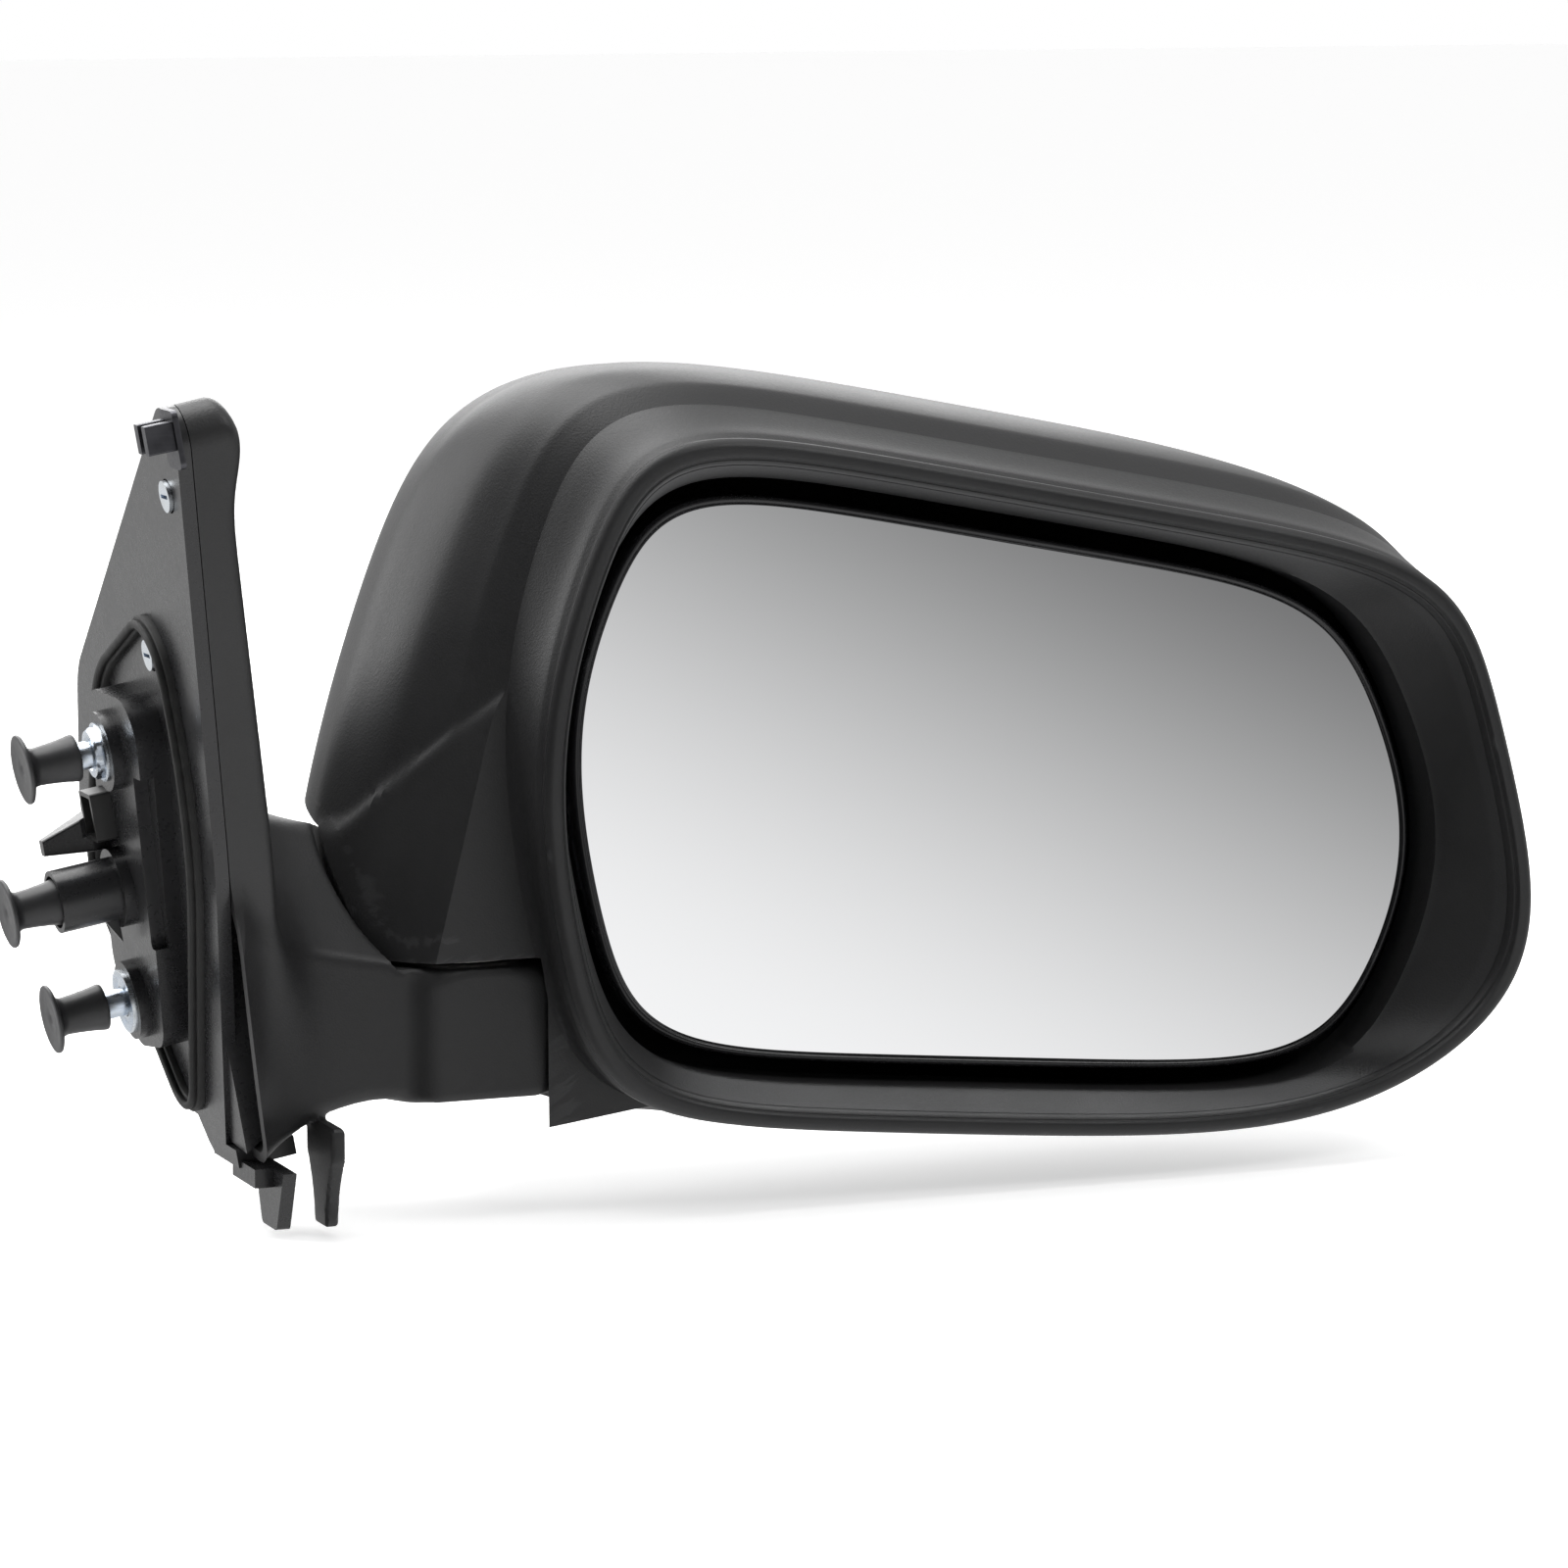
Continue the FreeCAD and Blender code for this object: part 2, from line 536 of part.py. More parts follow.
SHELL_DEPTHS = [-49.0, -46.0, -43.0, -38.0, -33.0, -28.0, -22.0, -16.0, -8.0, 0.0, 10.0, 20.0, 30.0, 38.0,
                44.0, 48.0, 50.0]
KNUCKLE_DEPTHS = [FACET_Y, -28.0, -22.0, -16.0, -8.0, 0.0, 8.0, 16.0, 24.0]
CAVITY_DEPTHS = [-46.0] + SHELL_DEPTHS[2:-3] + [42.0, 45.0, 47.0]
SHELL_SCREWS = [(141.0, 27.0), (141.0, -4.0), (246.0, 15.0)]
BOSS_END = BRACKET_Y + BRACKET_T
CARRIER_ROOM_X = 97.0            # flat on the pocket wall that the tilted carrier swings past


def sweep_round_fold(profile, start, turn):
    """Outline of (radius, height) corners swept part of the way round the fold axis."""
    corners = [V(r, 0, z) for r, z in profile]
    face = Part.Face(Part.makePolygon(corners + [corners[0]]))
    face.rotate(V(0, 0, 0), V(0, 0, 1), start)
    solid = face.revolve(V(0, 0, 0), V(0, 0, 1), turn)
    solid.translate(V(FOLD_X, FOLD_Y, 0))
    return solid


def sweep_round_fold(profile, start, turn):
    """Outline of (radius, height) corners swept part of the way round the fold axis."""
    corners = [V(r, 0, z) for r, z in profile]
    face = Part.Face(Part.makePolygon(corners + [corners[0]]))
    face.rotate(V(0, 0, 0), V(0, 0, 1), start)
    solid = face.revolve(V(0, 0, 0), V(0, 0, 1), turn)
    solid.translate(V(FOLD_X, FOLD_Y, 0))
    return solid


def arm_side_clearance():
    """Ring sector swept past the arm when the head folds; the head keeps out of it."""
    foot = [(SWEEP_LINE[-1][0], -80), (SWEEP_LINE[0][0], -80)]
    return sweep_round_fold(SWEEP_LINE + foot, 84, 162)


def head_outer():
    main = loft_rings(lambda angle, y: head_radius(angle, y, 0.0), SHELL_DEPTHS)
    return main.fuse(loft_rings(knuckle_radius, KNUCKLE_DEPTHS))


def funnel(grow, y0, y1):
    """Opening from the rim in to the glass edge and on past it; grow thickens it into a wall."""
    rings = []
    for sides, gap, y in ((RIM_SIDES, grow, y0), (GLASS_SIDES, GLASS_GAP + grow, GLASS_Y - 1.5)):
        rings.append(ring_wire(lambda angle: soft_radius([(d, r + gap) for d, r in sides], angle), y))
    return Part.makeLoft(rings, True, True).fuse(outline_prism(GLASS_SIDES, GLASS_GAP + grow, GLASS_Y - 1.5, y1))


def pocket_liner():
    """Walls round the pedestal pocket, behind the dish and over the arm."""
    cup = post(DISH_LOW + SKIN, -80, PED_TOP + 4.2)
    inside = [(r - SKIN, z + SKIN) for r, z in reversed(SWEEP_LINE)]
    return cup.fuse(sweep_round_fold(SWEEP_LINE + inside, 80, 170))


def head_shell():
    outer = head_outer()
    cavity = loft_rings(lambda angle, y: head_radius(angle, y, SKIN), CAVITY_DEPTHS)
    shell = outer.cut(cavity).fuse(pocket_liner().common(outer))
    shell = shell.fuse(funnel(2.4, RIM_Y + 2.0, -25.0)).cut(funnel(0.0, RIM_Y - 1.0, -24.0))
    shell = shell.cut(post(HUB_R + 0.6, PED_TOP + 4.2, HUB_TOP + 0.6))
    shell = shell.cut(post(WASHER_R + 0.8, HUB_TOP, RING_Z + 2.0)).cut(post(POST_R + 1.0, RING_Z, POST_TOP + 2.0))
    shell = shell.cut(post(DISH_LOW, -80, PED_TOP + 1.2)).cut(arm_side_clearance())
    shell = shell.cut(post(9.0, -40, 0)).cut(box(CARRIER_ROOM_X, 101, -25, -8, -46, PED_TOP + 4.4))
    for x, z in SHELL_SCREWS:
        boss = rod(4.2, (x, BOSS_END, z), (x, 60, z)).common(outer)
        shell = shell.fuse(boss).cut(rod(1.45, (x, 0, z), (x, BOSS_END + 12, z)))
    return largest(shell)


# ---------------------------------------------------------------- inside the head
ACT_SCREWS = [(163.6, -6.0), (232.4, -6.0), (232.4, 34.0)]


def head_bracket():
    plan = [V(88, -6, 0), V(104, 10.0, 0), V(128, BRACKET_Y, 0), V(254, BRACKET_Y, 0),
            V(254, BOSS_END, 0), V(126, BOSS_END, 0), V(100, 14.5, 0), V(83.5, -1.0, 0), V(88, -6, 0)]
    strip = Part.Face(Part.makePolygon(plan)).extrude(V(0, 0, 44))
    strip.translate(V(0, 0, -10))
    lug = box(82, 92, FOLD_Y - 4, 1, HUB_LOW, HUB_TOP)
    hub = post(HUB_R, HUB_LOW, HUB_TOP)
    solid = fuse_all([strip, lug, hub]).cut(post(10.0, -20, 20))
    for x, z in SHELL_SCREWS:
        solid = solid.cut(rod(1.6, (x, 0, z), (x, 30, z)))
    for x, z in ACT_SCREWS:
        solid = solid.cut(rod(1.45, (x, 0, z), (x, 30, z)))
    for x in (178.0, 216.0):
        solid = solid.cut(rod(9.0, (x, 0, 14), (x, 30, 14)))
    return solid


def pivot_bushing():
    return post(10.0, HUB_LOW, HUB_TOP, POST_R + 0.05)


def bracket_screws():
    screws = []
    for x, z in SHELL_SCREWS:
        head = rod(3.4, (x, BRACKET_Y - 2, z), (x, BRACKET_Y, z))
        screws.append(head.fuse(rod(1.4, (x, BRACKET_Y, z), (x, BOSS_END + 9, z))))
    return Part.makeCompound(screws)


def case_prism(grow, y0, y1):
    corners = [(ACT_X0 - grow, ACT_Z0 - grow, 9), (ACT_X1 + grow, ACT_Z0 - grow, 9),
               (ACT_X1 + grow, ACT_Z1 + grow, 9), (ACT_X0 - grow, ACT_Z1 + grow, 9)]
    wire = rounded(corners, lambda x, z: V(x, y0, z))
    return Part.Face(wire).extrude(V(0, y1 - y0, 0))


def case_posts(y0, y1):
    return fuse_all([rod(4.0, (x, y0, z), (x, y1, z)) for x, z in ACT_SCREWS])


def actuator_front():
    solid = case_prism(0, ACT_FRONT, ACT_SPLIT).cut(case_prism(-2, ACT_FRONT + 2, ACT_SPLIT))
    solid = solid.fuse(case_posts(ACT_FRONT + 1, ACT_SPLIT))
    for side in (-1, 1):
        x = GLASS_X + side * 11.5
        ear = box(x - 2, x + 2, PIVOT_Y, ACT_FRONT + 0.5, GLASS_Z - 4, GLASS_Z + 4)
        ear = ear.fuse(rod(4.0, (x - 2, PIVOT_Y, GLASS_Z), (x + 2, PIVOT_Y, GLASS_Z)))
        solid = solid.fuse(ear).cut(rod(2.05, (x - 3, PIVOT_Y, GLASS_Z), (x + 3, PIVOT_Y, GLASS_Z)))
    for x, z in (JACK_A, JACK_B):
        guide = tube(6.4, 4.1, (x, ACT_FRONT - 1.5, z), (x, ACT_FRONT + 5, z))
        solid = solid.cut(rod(5.0, (x, -20, z), (x, -10, z))).fuse(guide)
    for x, z in ACT_SCREWS:
        solid = solid.cut(rod(1.6, (x, -30, z), (x, 30, z)))
    return solid


def actuator_rear():
    solid = case_prism(0, ACT_SPLIT, ACT_BACK).cut(case_prism(-2, ACT_SPLIT, ACT_BACK - 2))
    solid = solid.fuse(case_posts(ACT_SPLIT, ACT_BACK - 1))
    for x, z in ACT_SCREWS:
        solid = solid.cut(rod(1.6, (x, -30, z), (x, 30, z)))
    return solid.cut(rod(3.0, (ACT_X0 - 5, 8, 40), (ACT_X0 + 5, 8, 40)))


def actuator_screws():
    return Part.makeCompound([rod(3.0, (x, ACT_FRONT - 2, z), (x, ACT_FRONT, z)).fuse(
        rod(1.4, (x, ACT_FRONT, z), (x, BRACKET_Y + 3, z))) for x, z in ACT_SCREWS])


def motor(x, z0, z1):
    can = rod(7.5, (x, -1, z0), (x, -1, z1))
    flats = box(x - 10, x + 10, -12, -7.2, z0 - 1, z1 + 1).fuse(box(x - 10, x + 10, 5.2, 12, z0 - 1, z1 + 1))
    can = can.cut(flats)
    return can.cut(rod(1.3, (x, -1, z1 - 6), (x, -1, z1 + 1)))


def worm(x, z0, z1):
    """Worm on its motor shaft; thread ridges stand in for the helix."""
    shaft = rod(1.2, (x, -1, z0 - 5), (x, -1, z1 + 2))
    core = rod(2.2, (x, -1, z0), (x, -1, z1))
    pitch = 2.2
    ridges = [Part.makeCone(3.1, 2.2, 0.7, V(x, -1, z0 + pitch * (i + 0.5)), V(0, 0, 1))
              for i in range(int((z1 - z0) / pitch))]
    return fuse_all([shaft, core] + ridges)


def drive_wheel(x, z):
    """Toothed wheel that turns on its jack screw's thread."""
    points = []
    for i in range(WHEEL_TEETH):
        for share, r in ((0.0, WHEEL_R - 1.3), (0.22, WHEEL_R), (0.5, WHEEL_R), (0.72, WHEEL_R - 1.3)):
            angle = 2 * math.pi * (i + share) / WHEEL_TEETH
            points.append(V(x + r * math.cos(angle), -4, z + r * math.sin(angle)))
    disc = Part.Face(Part.makePolygon(points + [points[0]])).extrude(V(0, 6, 0))
    hub = rod(6.5, (x, -7, z), (x, 4, z))
    return disc.fuse(hub).cut(rod(4.08, (x, -20, z), (x, 20, z)))


def jack_screw(x, z):
    stem = rod(4.0, (x, -20.0, z), (x, 7.0, z)).fuse(rod(2.0, (x, -24.0, z), (x, -20.0, z)))
    return stem.fuse(Part.makeSphere(3.0, V(x, -24.6, z))).removeSplitter()


def gimbal_cross():
    c = (GLASS_X, PIVOT_Y, GLASS_Z)
    hub = rod(5.0, (c[0], PIVOT_Y - 2.6, c[2]), (c[0], PIVOT_Y + 2.6, c[2]))
    across = rod(2.0, (c[0] - 13.3, c[1], c[2]), (c[0] + 13.3, c[1], c[2]))
    upright = rod(2.0, (c[0], c[1], c[2] - 13.3), (c[0], c[1], c[2] + 13.3))
    return fuse_all([hub, across, upright])


def head_harness():
    """Cable from the top of the fold post across to the actuator."""
    points = [V(FOLD_X, FOLD_Y, 43.5), V(75.5, -12.3, 49), V(84, -9.3, 51), V(108, -1, 47), V(134, 5.8, 41.4),
              V(151, 7.9, 40.1), V(ACT_X0 + 1.5, 8, 40)]
    curve = Part.BSplineCurve()
    curve.interpolate(Points=points)
    run = curve.toShape()
    ring = Part.Wire(Part.makeCircle(2.0, points[0], run.tangentAt(run.FirstParameter)))
    return Part.Wire(run).makePipeShell([ring], True, True)


# ---------------------------------------------------------------- glass
def between_spheres(front, back):
    """Layer between two depths that follows the glass's curve; depths are given at the centre."""
    def ball(depth):
        return Part.makeSphere(GLASS_R, V(GLASS_X, depth + GLASS_R, GLASS_Z))
    near = ball(front)
    return near.cut(ball(back))


def curved_layer(grow, front, back):
    return outline_prism(GLASS_SIDES, grow, front - 2, back + 12).common(between_spheres(front, back))


def mirror_glass():
    return largest(curved_layer(-1.6, GLASS_Y, GLASS_Y + GLASS_T))


def glass_pad():
    return largest(curved_layer(-4.0, GLASS_Y + GLASS_T, GLASS_Y + GLASS_T + 0.8))


def glass_carrier():
    back = GLASS_Y + GLASS_T + 0.8
    shape = largest(curved_layer(0.0, GLASS_Y - 0.2, back + 1.8))
    pocket = largest(curved_layer(-1.6, GLASS_Y - 1, back))
    shape = shape.cut(pocket)
    cup_start = back + 0.6
    for x, z in (JACK_A, JACK_B):
        cup = tube(7.0, 5.0, (x, cup_start + 1.2, z), (x, -22.0, z))
        shape = shape.fuse(cup)
    for side in (-1, 1):
        z = GLASS_Z + side * 11.5
        ear = box(GLASS_X - 4, GLASS_X + 4, cup_start, PIVOT_Y, z - 2, z + 2)
        ear = ear.fuse(rod(4.0, (GLASS_X, PIVOT_Y, z - 2), (GLASS_X, PIVOT_Y, z + 2)))
        shape = shape.fuse(ear).cut(rod(2.05, (GLASS_X, PIVOT_Y, z - 3), (GLASS_X, PIVOT_Y, z + 3)))
    return shape


# ---------------------------------------------------------------- write every piece
def pieces():
    yield "base_bracket", base_bracket()
    yield "base_cover", base_cover()
    yield "door_gasket", door_gasket()
    yield "mounting_studs", mounting_studs()
    yield "stud_collars", stud_collars()
    yield "stud_cap_top", stud_cap(0)
    yield "stud_cap_middle", stud_cap(1)
    yield "stud_cap_bottom", stud_cap(2)
    yield "connector_shell", connector_shell()
    yield "connector_pins", connector_pins()
    yield "base_harness", base_harness()
    yield "sail_clip", sail_clip()
    yield "cover_screws", cover_screws()
    yield "bottom_plug", bottom_plug()
    yield "pivot_post", pivot_post()
    yield "post_screws", post_screws()
    yield "glide_washer", glide_washer()
    yield "spring_washer", spring_washer()
    yield "pivot_spring", pivot_spring()
    yield "spring_cap", spring_cap()
    yield "retaining_ring", retaining_ring()
    yield "head_shell", head_shell()
    yield "head_bracket", head_bracket()
    yield "pivot_bushing", pivot_bushing()
    yield "bracket_screws", bracket_screws()
    yield "actuator_front", actuator_front()
    yield "actuator_rear", actuator_rear()
    yield "actuator_screws", actuator_screws()
    yield "motor_vertical", motor(WORM_X_A, 3, 28)
    yield "motor_horizontal", motor(WORM_X_B, -25, 0)
    yield "worm_vertical", worm(WORM_X_A, 32, 54)
    yield "worm_horizontal", worm(WORM_X_B, 4, 26)
    yield "drive_wheel_vertical", drive_wheel(*JACK_A)
    yield "drive_wheel_horizontal", drive_wheel(*JACK_B)
    yield "jack_screw_vertical", jack_screw(*JACK_A)
    yield "jack_screw_horizontal", jack_screw(*JACK_B)
    yield "gimbal_cross", gimbal_cross()
    yield "head_harness", head_harness()
    yield "mirror_glass", mirror_glass()
    yield "glass_pad", glass_pad()
    yield "glass_carrier", glass_carrier()


os.makedirs("parts", exist_ok=True)
for name, shape in pieces():
    shape.exportStep("parts/" + name + ".step")
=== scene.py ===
"""Looks for a right-hand door mirror: moulded shells, rubber, caps, threads, glass and a plain studio.

Everything is drawn in millimetres in the frame's own axes and turned into metres when a mesh is made.
"""
import json
import math

import bmesh
import bpy
import numpy as np
from mathutils import Matrix, Vector

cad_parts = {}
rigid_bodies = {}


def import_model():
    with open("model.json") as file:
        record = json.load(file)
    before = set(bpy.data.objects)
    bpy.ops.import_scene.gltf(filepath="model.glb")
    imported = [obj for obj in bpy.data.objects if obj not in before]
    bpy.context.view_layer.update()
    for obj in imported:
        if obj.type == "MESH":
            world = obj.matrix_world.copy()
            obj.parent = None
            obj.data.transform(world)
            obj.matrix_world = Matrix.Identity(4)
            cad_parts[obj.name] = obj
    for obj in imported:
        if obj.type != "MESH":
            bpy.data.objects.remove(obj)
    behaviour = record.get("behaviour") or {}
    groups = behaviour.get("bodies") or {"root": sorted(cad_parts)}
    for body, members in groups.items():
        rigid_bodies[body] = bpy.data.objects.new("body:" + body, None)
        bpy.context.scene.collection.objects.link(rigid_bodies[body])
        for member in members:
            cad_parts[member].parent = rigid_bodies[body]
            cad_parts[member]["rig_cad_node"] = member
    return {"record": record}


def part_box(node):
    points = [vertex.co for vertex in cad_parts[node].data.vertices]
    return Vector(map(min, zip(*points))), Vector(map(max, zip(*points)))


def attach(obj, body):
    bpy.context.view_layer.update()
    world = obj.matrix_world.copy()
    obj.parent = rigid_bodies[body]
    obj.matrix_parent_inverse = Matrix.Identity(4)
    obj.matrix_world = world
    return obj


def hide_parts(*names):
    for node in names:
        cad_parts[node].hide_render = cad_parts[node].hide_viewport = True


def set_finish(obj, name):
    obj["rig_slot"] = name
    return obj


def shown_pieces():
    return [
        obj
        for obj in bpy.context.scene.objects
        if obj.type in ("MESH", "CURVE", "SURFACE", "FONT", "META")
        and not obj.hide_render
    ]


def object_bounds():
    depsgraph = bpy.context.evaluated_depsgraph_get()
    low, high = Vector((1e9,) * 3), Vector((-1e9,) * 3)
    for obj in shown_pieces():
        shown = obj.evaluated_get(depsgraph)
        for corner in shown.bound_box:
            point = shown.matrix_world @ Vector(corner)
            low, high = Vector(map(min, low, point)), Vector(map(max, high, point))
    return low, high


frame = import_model()
CAD_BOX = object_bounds()
MM = 0.001

# ------------------------------------------------------------------ driving dimensions (mm, degrees)
LEAN = 10.0
FACE_A, SKIN = 9.0, 2.6
STUDS = [("top", -9.0, 29.5, 16.0), ("middle", 2.0, -2.0, 22.5), ("bottom", 8.0, -28.0, 16.0)]
COLLARS = [2.4, 2.4, 1.0]
THREAD_LEN, THREAD_PITCH = 10.8, 1.0
CAP_LEN, CAP_FLANGE_R = 12.2, 7.5
FOLD_X, FOLD_Y = 72.5, -13.0
PED_R, PED_TOP, PED_BOTTOM = 23.3, -18.0, -47.0
FACET_Y = -33.0
DISH_LOW, DISH_HIGH, DISH_Z, DISH_GAP = 24.3, 29.6, 10.0, 1.2
SWEEP_LINE = [(DISH_LOW, PED_TOP + 1.2), (DISH_HIGH, DISH_Z), (41.0, 17.0), (60.0, 30.0), (95.0, 30.0)]
CARRIER_ROOM_X = 97.0
HUB_CAVITY_R, WASHER_CAVITY_R, HUB_TOP = 15.8, 14.2, 4.0
POST_CAVITY_R, RING_TOP, POST_TOP = 9.0, 39.2, 44.0
GLASS_X, GLASS_Y, GLASS_Z = 190.0, -35.0, 15.0
GLASS_R, GLASS_T, PIVOT_Y, JACK_R, GLASS_GAP = 1400.0, 2.0, -21.0, 28.0, 4.2
RIM_Y, NOSE_Y, SOFT, REAR_SOFT = -49.0, 52.0, 8.0, 5.1
GLASS_SIDES = [(150.0, 101.7), (79.0, 54.6), (26.7, 91.9), (-29.8, 107.0), (-95.2, 62.3), (-164.7, 96.5)]
RIM_SIDES = [(154.4, 109.1), (78.9, 61.4), (15.7, 111.0), (-58.6, 107.6), (-95.5, 70.6), (-164.8, 105.4)]
HEAD_STATIONS = [
    (-49.0, [114.6, 66.8, 116.2, 112.6, 75.4, 110.9]),
    (-43.0, [115.5, 68.2, 116.4, 112.5, 76.0, 111.2]),
    (-33.0, [122.0, 72.4, 116.0, 111.0, 75.6, 112.0]),
    (-28.0, [127.5, 76.6, 115.4, 112.0, 76.0, 127.0]),
    (-20.0, [134.0, 79.0, 114.6, 111.0, 75.2, 148.0]),
    (-10.0, [138.5, 80.2, 112.8, 109.0, 73.5, 162.0]),
    (0.0, [142.0, 80.0, 110.8, 106.0, 71.0, 172.0]),
]
FRONT_FULLNESS = [2.6, 2.4, 1.9, 1.9, 2.2, 2.6]
KNUCKLE_LEFT = [(-33.0, 166.0, 117.5), (-10.0, 173.0, 140.5)]
KNUCKLE_REST = [(-82.4, 54.5), (30.0, 40.0)]
KNUCKLE_TOP = (30.0, 2.0)

PLATE = [(-84, 116, 7), (33, 41, 26), (58, 0, 17), (-12, -68, 9), (-48, 5, 150)]
GASKET = [(-45, 66, 14), (10, 45, 40), (49, -7, 13), (0, -61, 11), (-45, 14, 90)]
GASKET_H = 3.0
COVER_TILT, COVER_A, COVER_H = 1.7, 12.2, 7.2
CORE_GAP = 1.0
SCREWS = [(-66.0, 88.0), (31.0, 24.0), (-30.0, 51.0)]
ARM = [
    (14.0, [(-46, -66, 6), (-47, -4, 7), (-20, 27, 12), (20, 25, 12), (36, -60, 12)]),
    (22.0, [(-37, -58, 6), (-37, -8, 6), (-10, 19, 11), (16, 17, 10), (26, -53, 11)]),
    (32.0, [(-32, -51, 4), (-32, -12, 5), (-5, 14, 10), (13, 12, 9), (18, -48, 9)]),
    (46.0, [(-30, -46.5, 3), (-30, -15.5, 4), (-3, 10, 8), (10, 8, 8), (14, -46.5, 8)]),
    (62.0, [(-31, -47, 3), (-31, -18, 4), (0, 8, 7), (9, 6, 6), (10, -47, 8)]),
]


# ------------------------------------------------------------------ mesh helpers
def shade(obj, sharp_degrees):
    """Smooth shading with edges sharper than the given angle kept crisp."""
    obj.data.shade_smooth()
    obj.data.set_sharp_from_angle(angle=math.radians(sharp_degrees))


def make_object(name, points, faces, sharp_degrees=35.0):
    """Mesh object from points in mm, with doubled points merged and faces turned outwards."""
    mesh = bpy.data.meshes.new(name)
    mesh.from_pydata((np.asarray(points, float) * MM).tolist(), [], faces)
    work = bmesh.new()
    work.from_mesh(mesh)
    bmesh.ops.remove_doubles(work, verts=work.verts, dist=2e-6)
    bmesh.ops.dissolve_degenerate(work, edges=work.edges, dist=1e-6)
    bmesh.ops.recalc_face_normals(work, faces=work.faces)
    work.to_mesh(mesh)
    work.free()
    obj = bpy.data.objects.new(name, mesh)
    bpy.context.scene.collection.objects.link(obj)
    shade(obj, sharp_degrees)
    return obj


def grid_faces(rows, columns, close_rows=False):
    """Quads of a grid whose columns wrap round; rows wrap too when close_rows is set."""
    faces = []
    for i in range(rows if close_rows else rows - 1):
        here, there = i * columns, ((i + 1) % rows) * columns
        for j in range(columns):
            k = (j + 1) % columns
            faces.append((here + j, here + k, there + k, there + j))
    return faces


def join(name, parts, sharp_degrees=35.0):
    """One object from several closed meshes given as (points, faces)."""
    points, faces = [], []
    for part_points, part_faces in parts:
        start = len(points)
        points.extend(np.asarray(part_points, float).tolist())
        faces.extend([tuple(i + start for i in face) for face in part_faces])
    return make_object(name, points, faces, sharp_degrees)


def lathe(profile, origin, axis, segments=64):
    """Points and faces of a closed outline (radius, height) turned round an axis."""
    axis = Vector(axis).normalized()
    side = axis.orthogonal().normalized()
    across = axis.cross(side)
    points = []
    for radius, height in profile:
        for j in range(segments):
            angle = 2 * math.pi * j / segments
            way = side * math.cos(angle) + across * math.sin(angle)
            points.append(Vector(origin) + way * max(radius, 1e-4) + axis * height)
    return points, grid_faces(len(profile), segments, close_rows=True)


def solid_lathe(profile, origin, axis, segments=64):
    """Lathe whose outline starts and ends on the axis."""
    points, faces = lathe(profile, origin, axis, segments)
    last = (len(profile) - 1) * segments
    return points, [face for face in faces if not (min(face) < segments and max(face) >= last)]


def rounded_turn(corners, steps=4):
    """Outline (radius, height) with each corner (radius, height, rounding) rounded off."""
    outline = []
    count = len(corners)
    for i, (u, v, r) in enumerate(corners):
        if r <= 0:
            outline.append((u, v))
            continue
        here = np.array([u, v], float)
        back = np.array(corners[i - 1][:2], float) - here
        ahead = np.array(corners[(i + 1) % count][:2], float) - here
        back /= np.linalg.norm(back)
        ahead /= np.linalg.norm(ahead)
        half = math.acos(max(-1.0, min(1.0, float(back @ ahead)))) / 2
        reach = r / math.tan(half)
        start, end = here + back * reach, here + ahead * reach
        for k in range(steps + 1):
            t = k / steps
            point = (1 - t) ** 2 * start + 2 * t * (1 - t) * here + t ** 2 * end
            outline.append((float(point[0]), float(point[1])))
    return outline


def apply_modifiers(obj):
    graph = bpy.context.evaluated_depsgraph_get()
    mesh = bpy.data.meshes.new_from_object(obj.evaluated_get(graph))
    obj.modifiers.clear()
    obj.data = mesh


def combine(target, other, operation, solver="MANIFOLD"):
    """Boolean of two closed meshes; the second one is used up."""
    step = target.modifiers.new("combine", "BOOLEAN")
    step.operation = operation
    step.solver = solver
    step.object = other
    apply_modifiers(target)
    bpy.data.objects.remove(other)
    return target


def tool(part, name="tool"):
    return make_object(name, part[0], part[1])


def finish_piece(obj, body, slot, nodes=()):
    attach(obj, body)
    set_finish(obj, slot)
    if nodes:
        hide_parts(*nodes)
    return obj


# ------------------------------------------------------------------ the base's leaned frame
LEAN_C, LEAN_S = math.cos(math.radians(LEAN)), math.sin(math.radians(LEAN))


def leaned(a, y, up):
    return Vector((a * LEAN_C - up * LEAN_S, y, a * LEAN_S + up * LEAN_C))


def to_lean(x, y, z):
    return x * LEAN_C + z * LEAN_S, y, z * LEAN_C - x * LEAN_S


OUTBOARD = leaned(1, 0, 0)


# ------------------------------------------------------------------ distance fields and surface nets
def polygon_distance(corners, u, v):
    """Signed distance to a convex outline of corners (u, v, radius); negative inside."""
    count = len(corners)
    turn = sum(np.mean(corners[i - 1][0] * corners[i][1] - corners[i][0] * corners[i - 1][1])
               for i in range(count))
    if turn < 0:
        corners = corners[::-1]
    normals = []
    for i in range(count):
        du = corners[(i + 1) % count][0] - corners[i][0]
        dv = corners[(i + 1) % count][1] - corners[i][1]
        length = np.hypot(du, dv)
        normals.append((dv / length, -du / length))
    distance = -1e9
    for i in range(count):
        beyond = (u - corners[i][0]) * normals[i][0] + (v - corners[i][1]) * normals[i][1]
        distance = np.maximum(distance, beyond)
    for i in range(count):
        (mu, mv), (nu, nv) = normals[i - 1], normals[i]
        pull = corners[i][2] / (1 + mu * nu + mv * nv)
        qu = u - corners[i][0] + (mu + nu) * pull
        qv = v - corners[i][1] + (mv + nv) * pull
        in_corner = (mu * qv - mv * qu > 0) & (qu * nv - qv * nu > 0)
        arc = np.hypot(qu, qv) - corners[i][2]
        distance = np.where(in_corner, np.maximum(distance, arc), distance)
    return distance


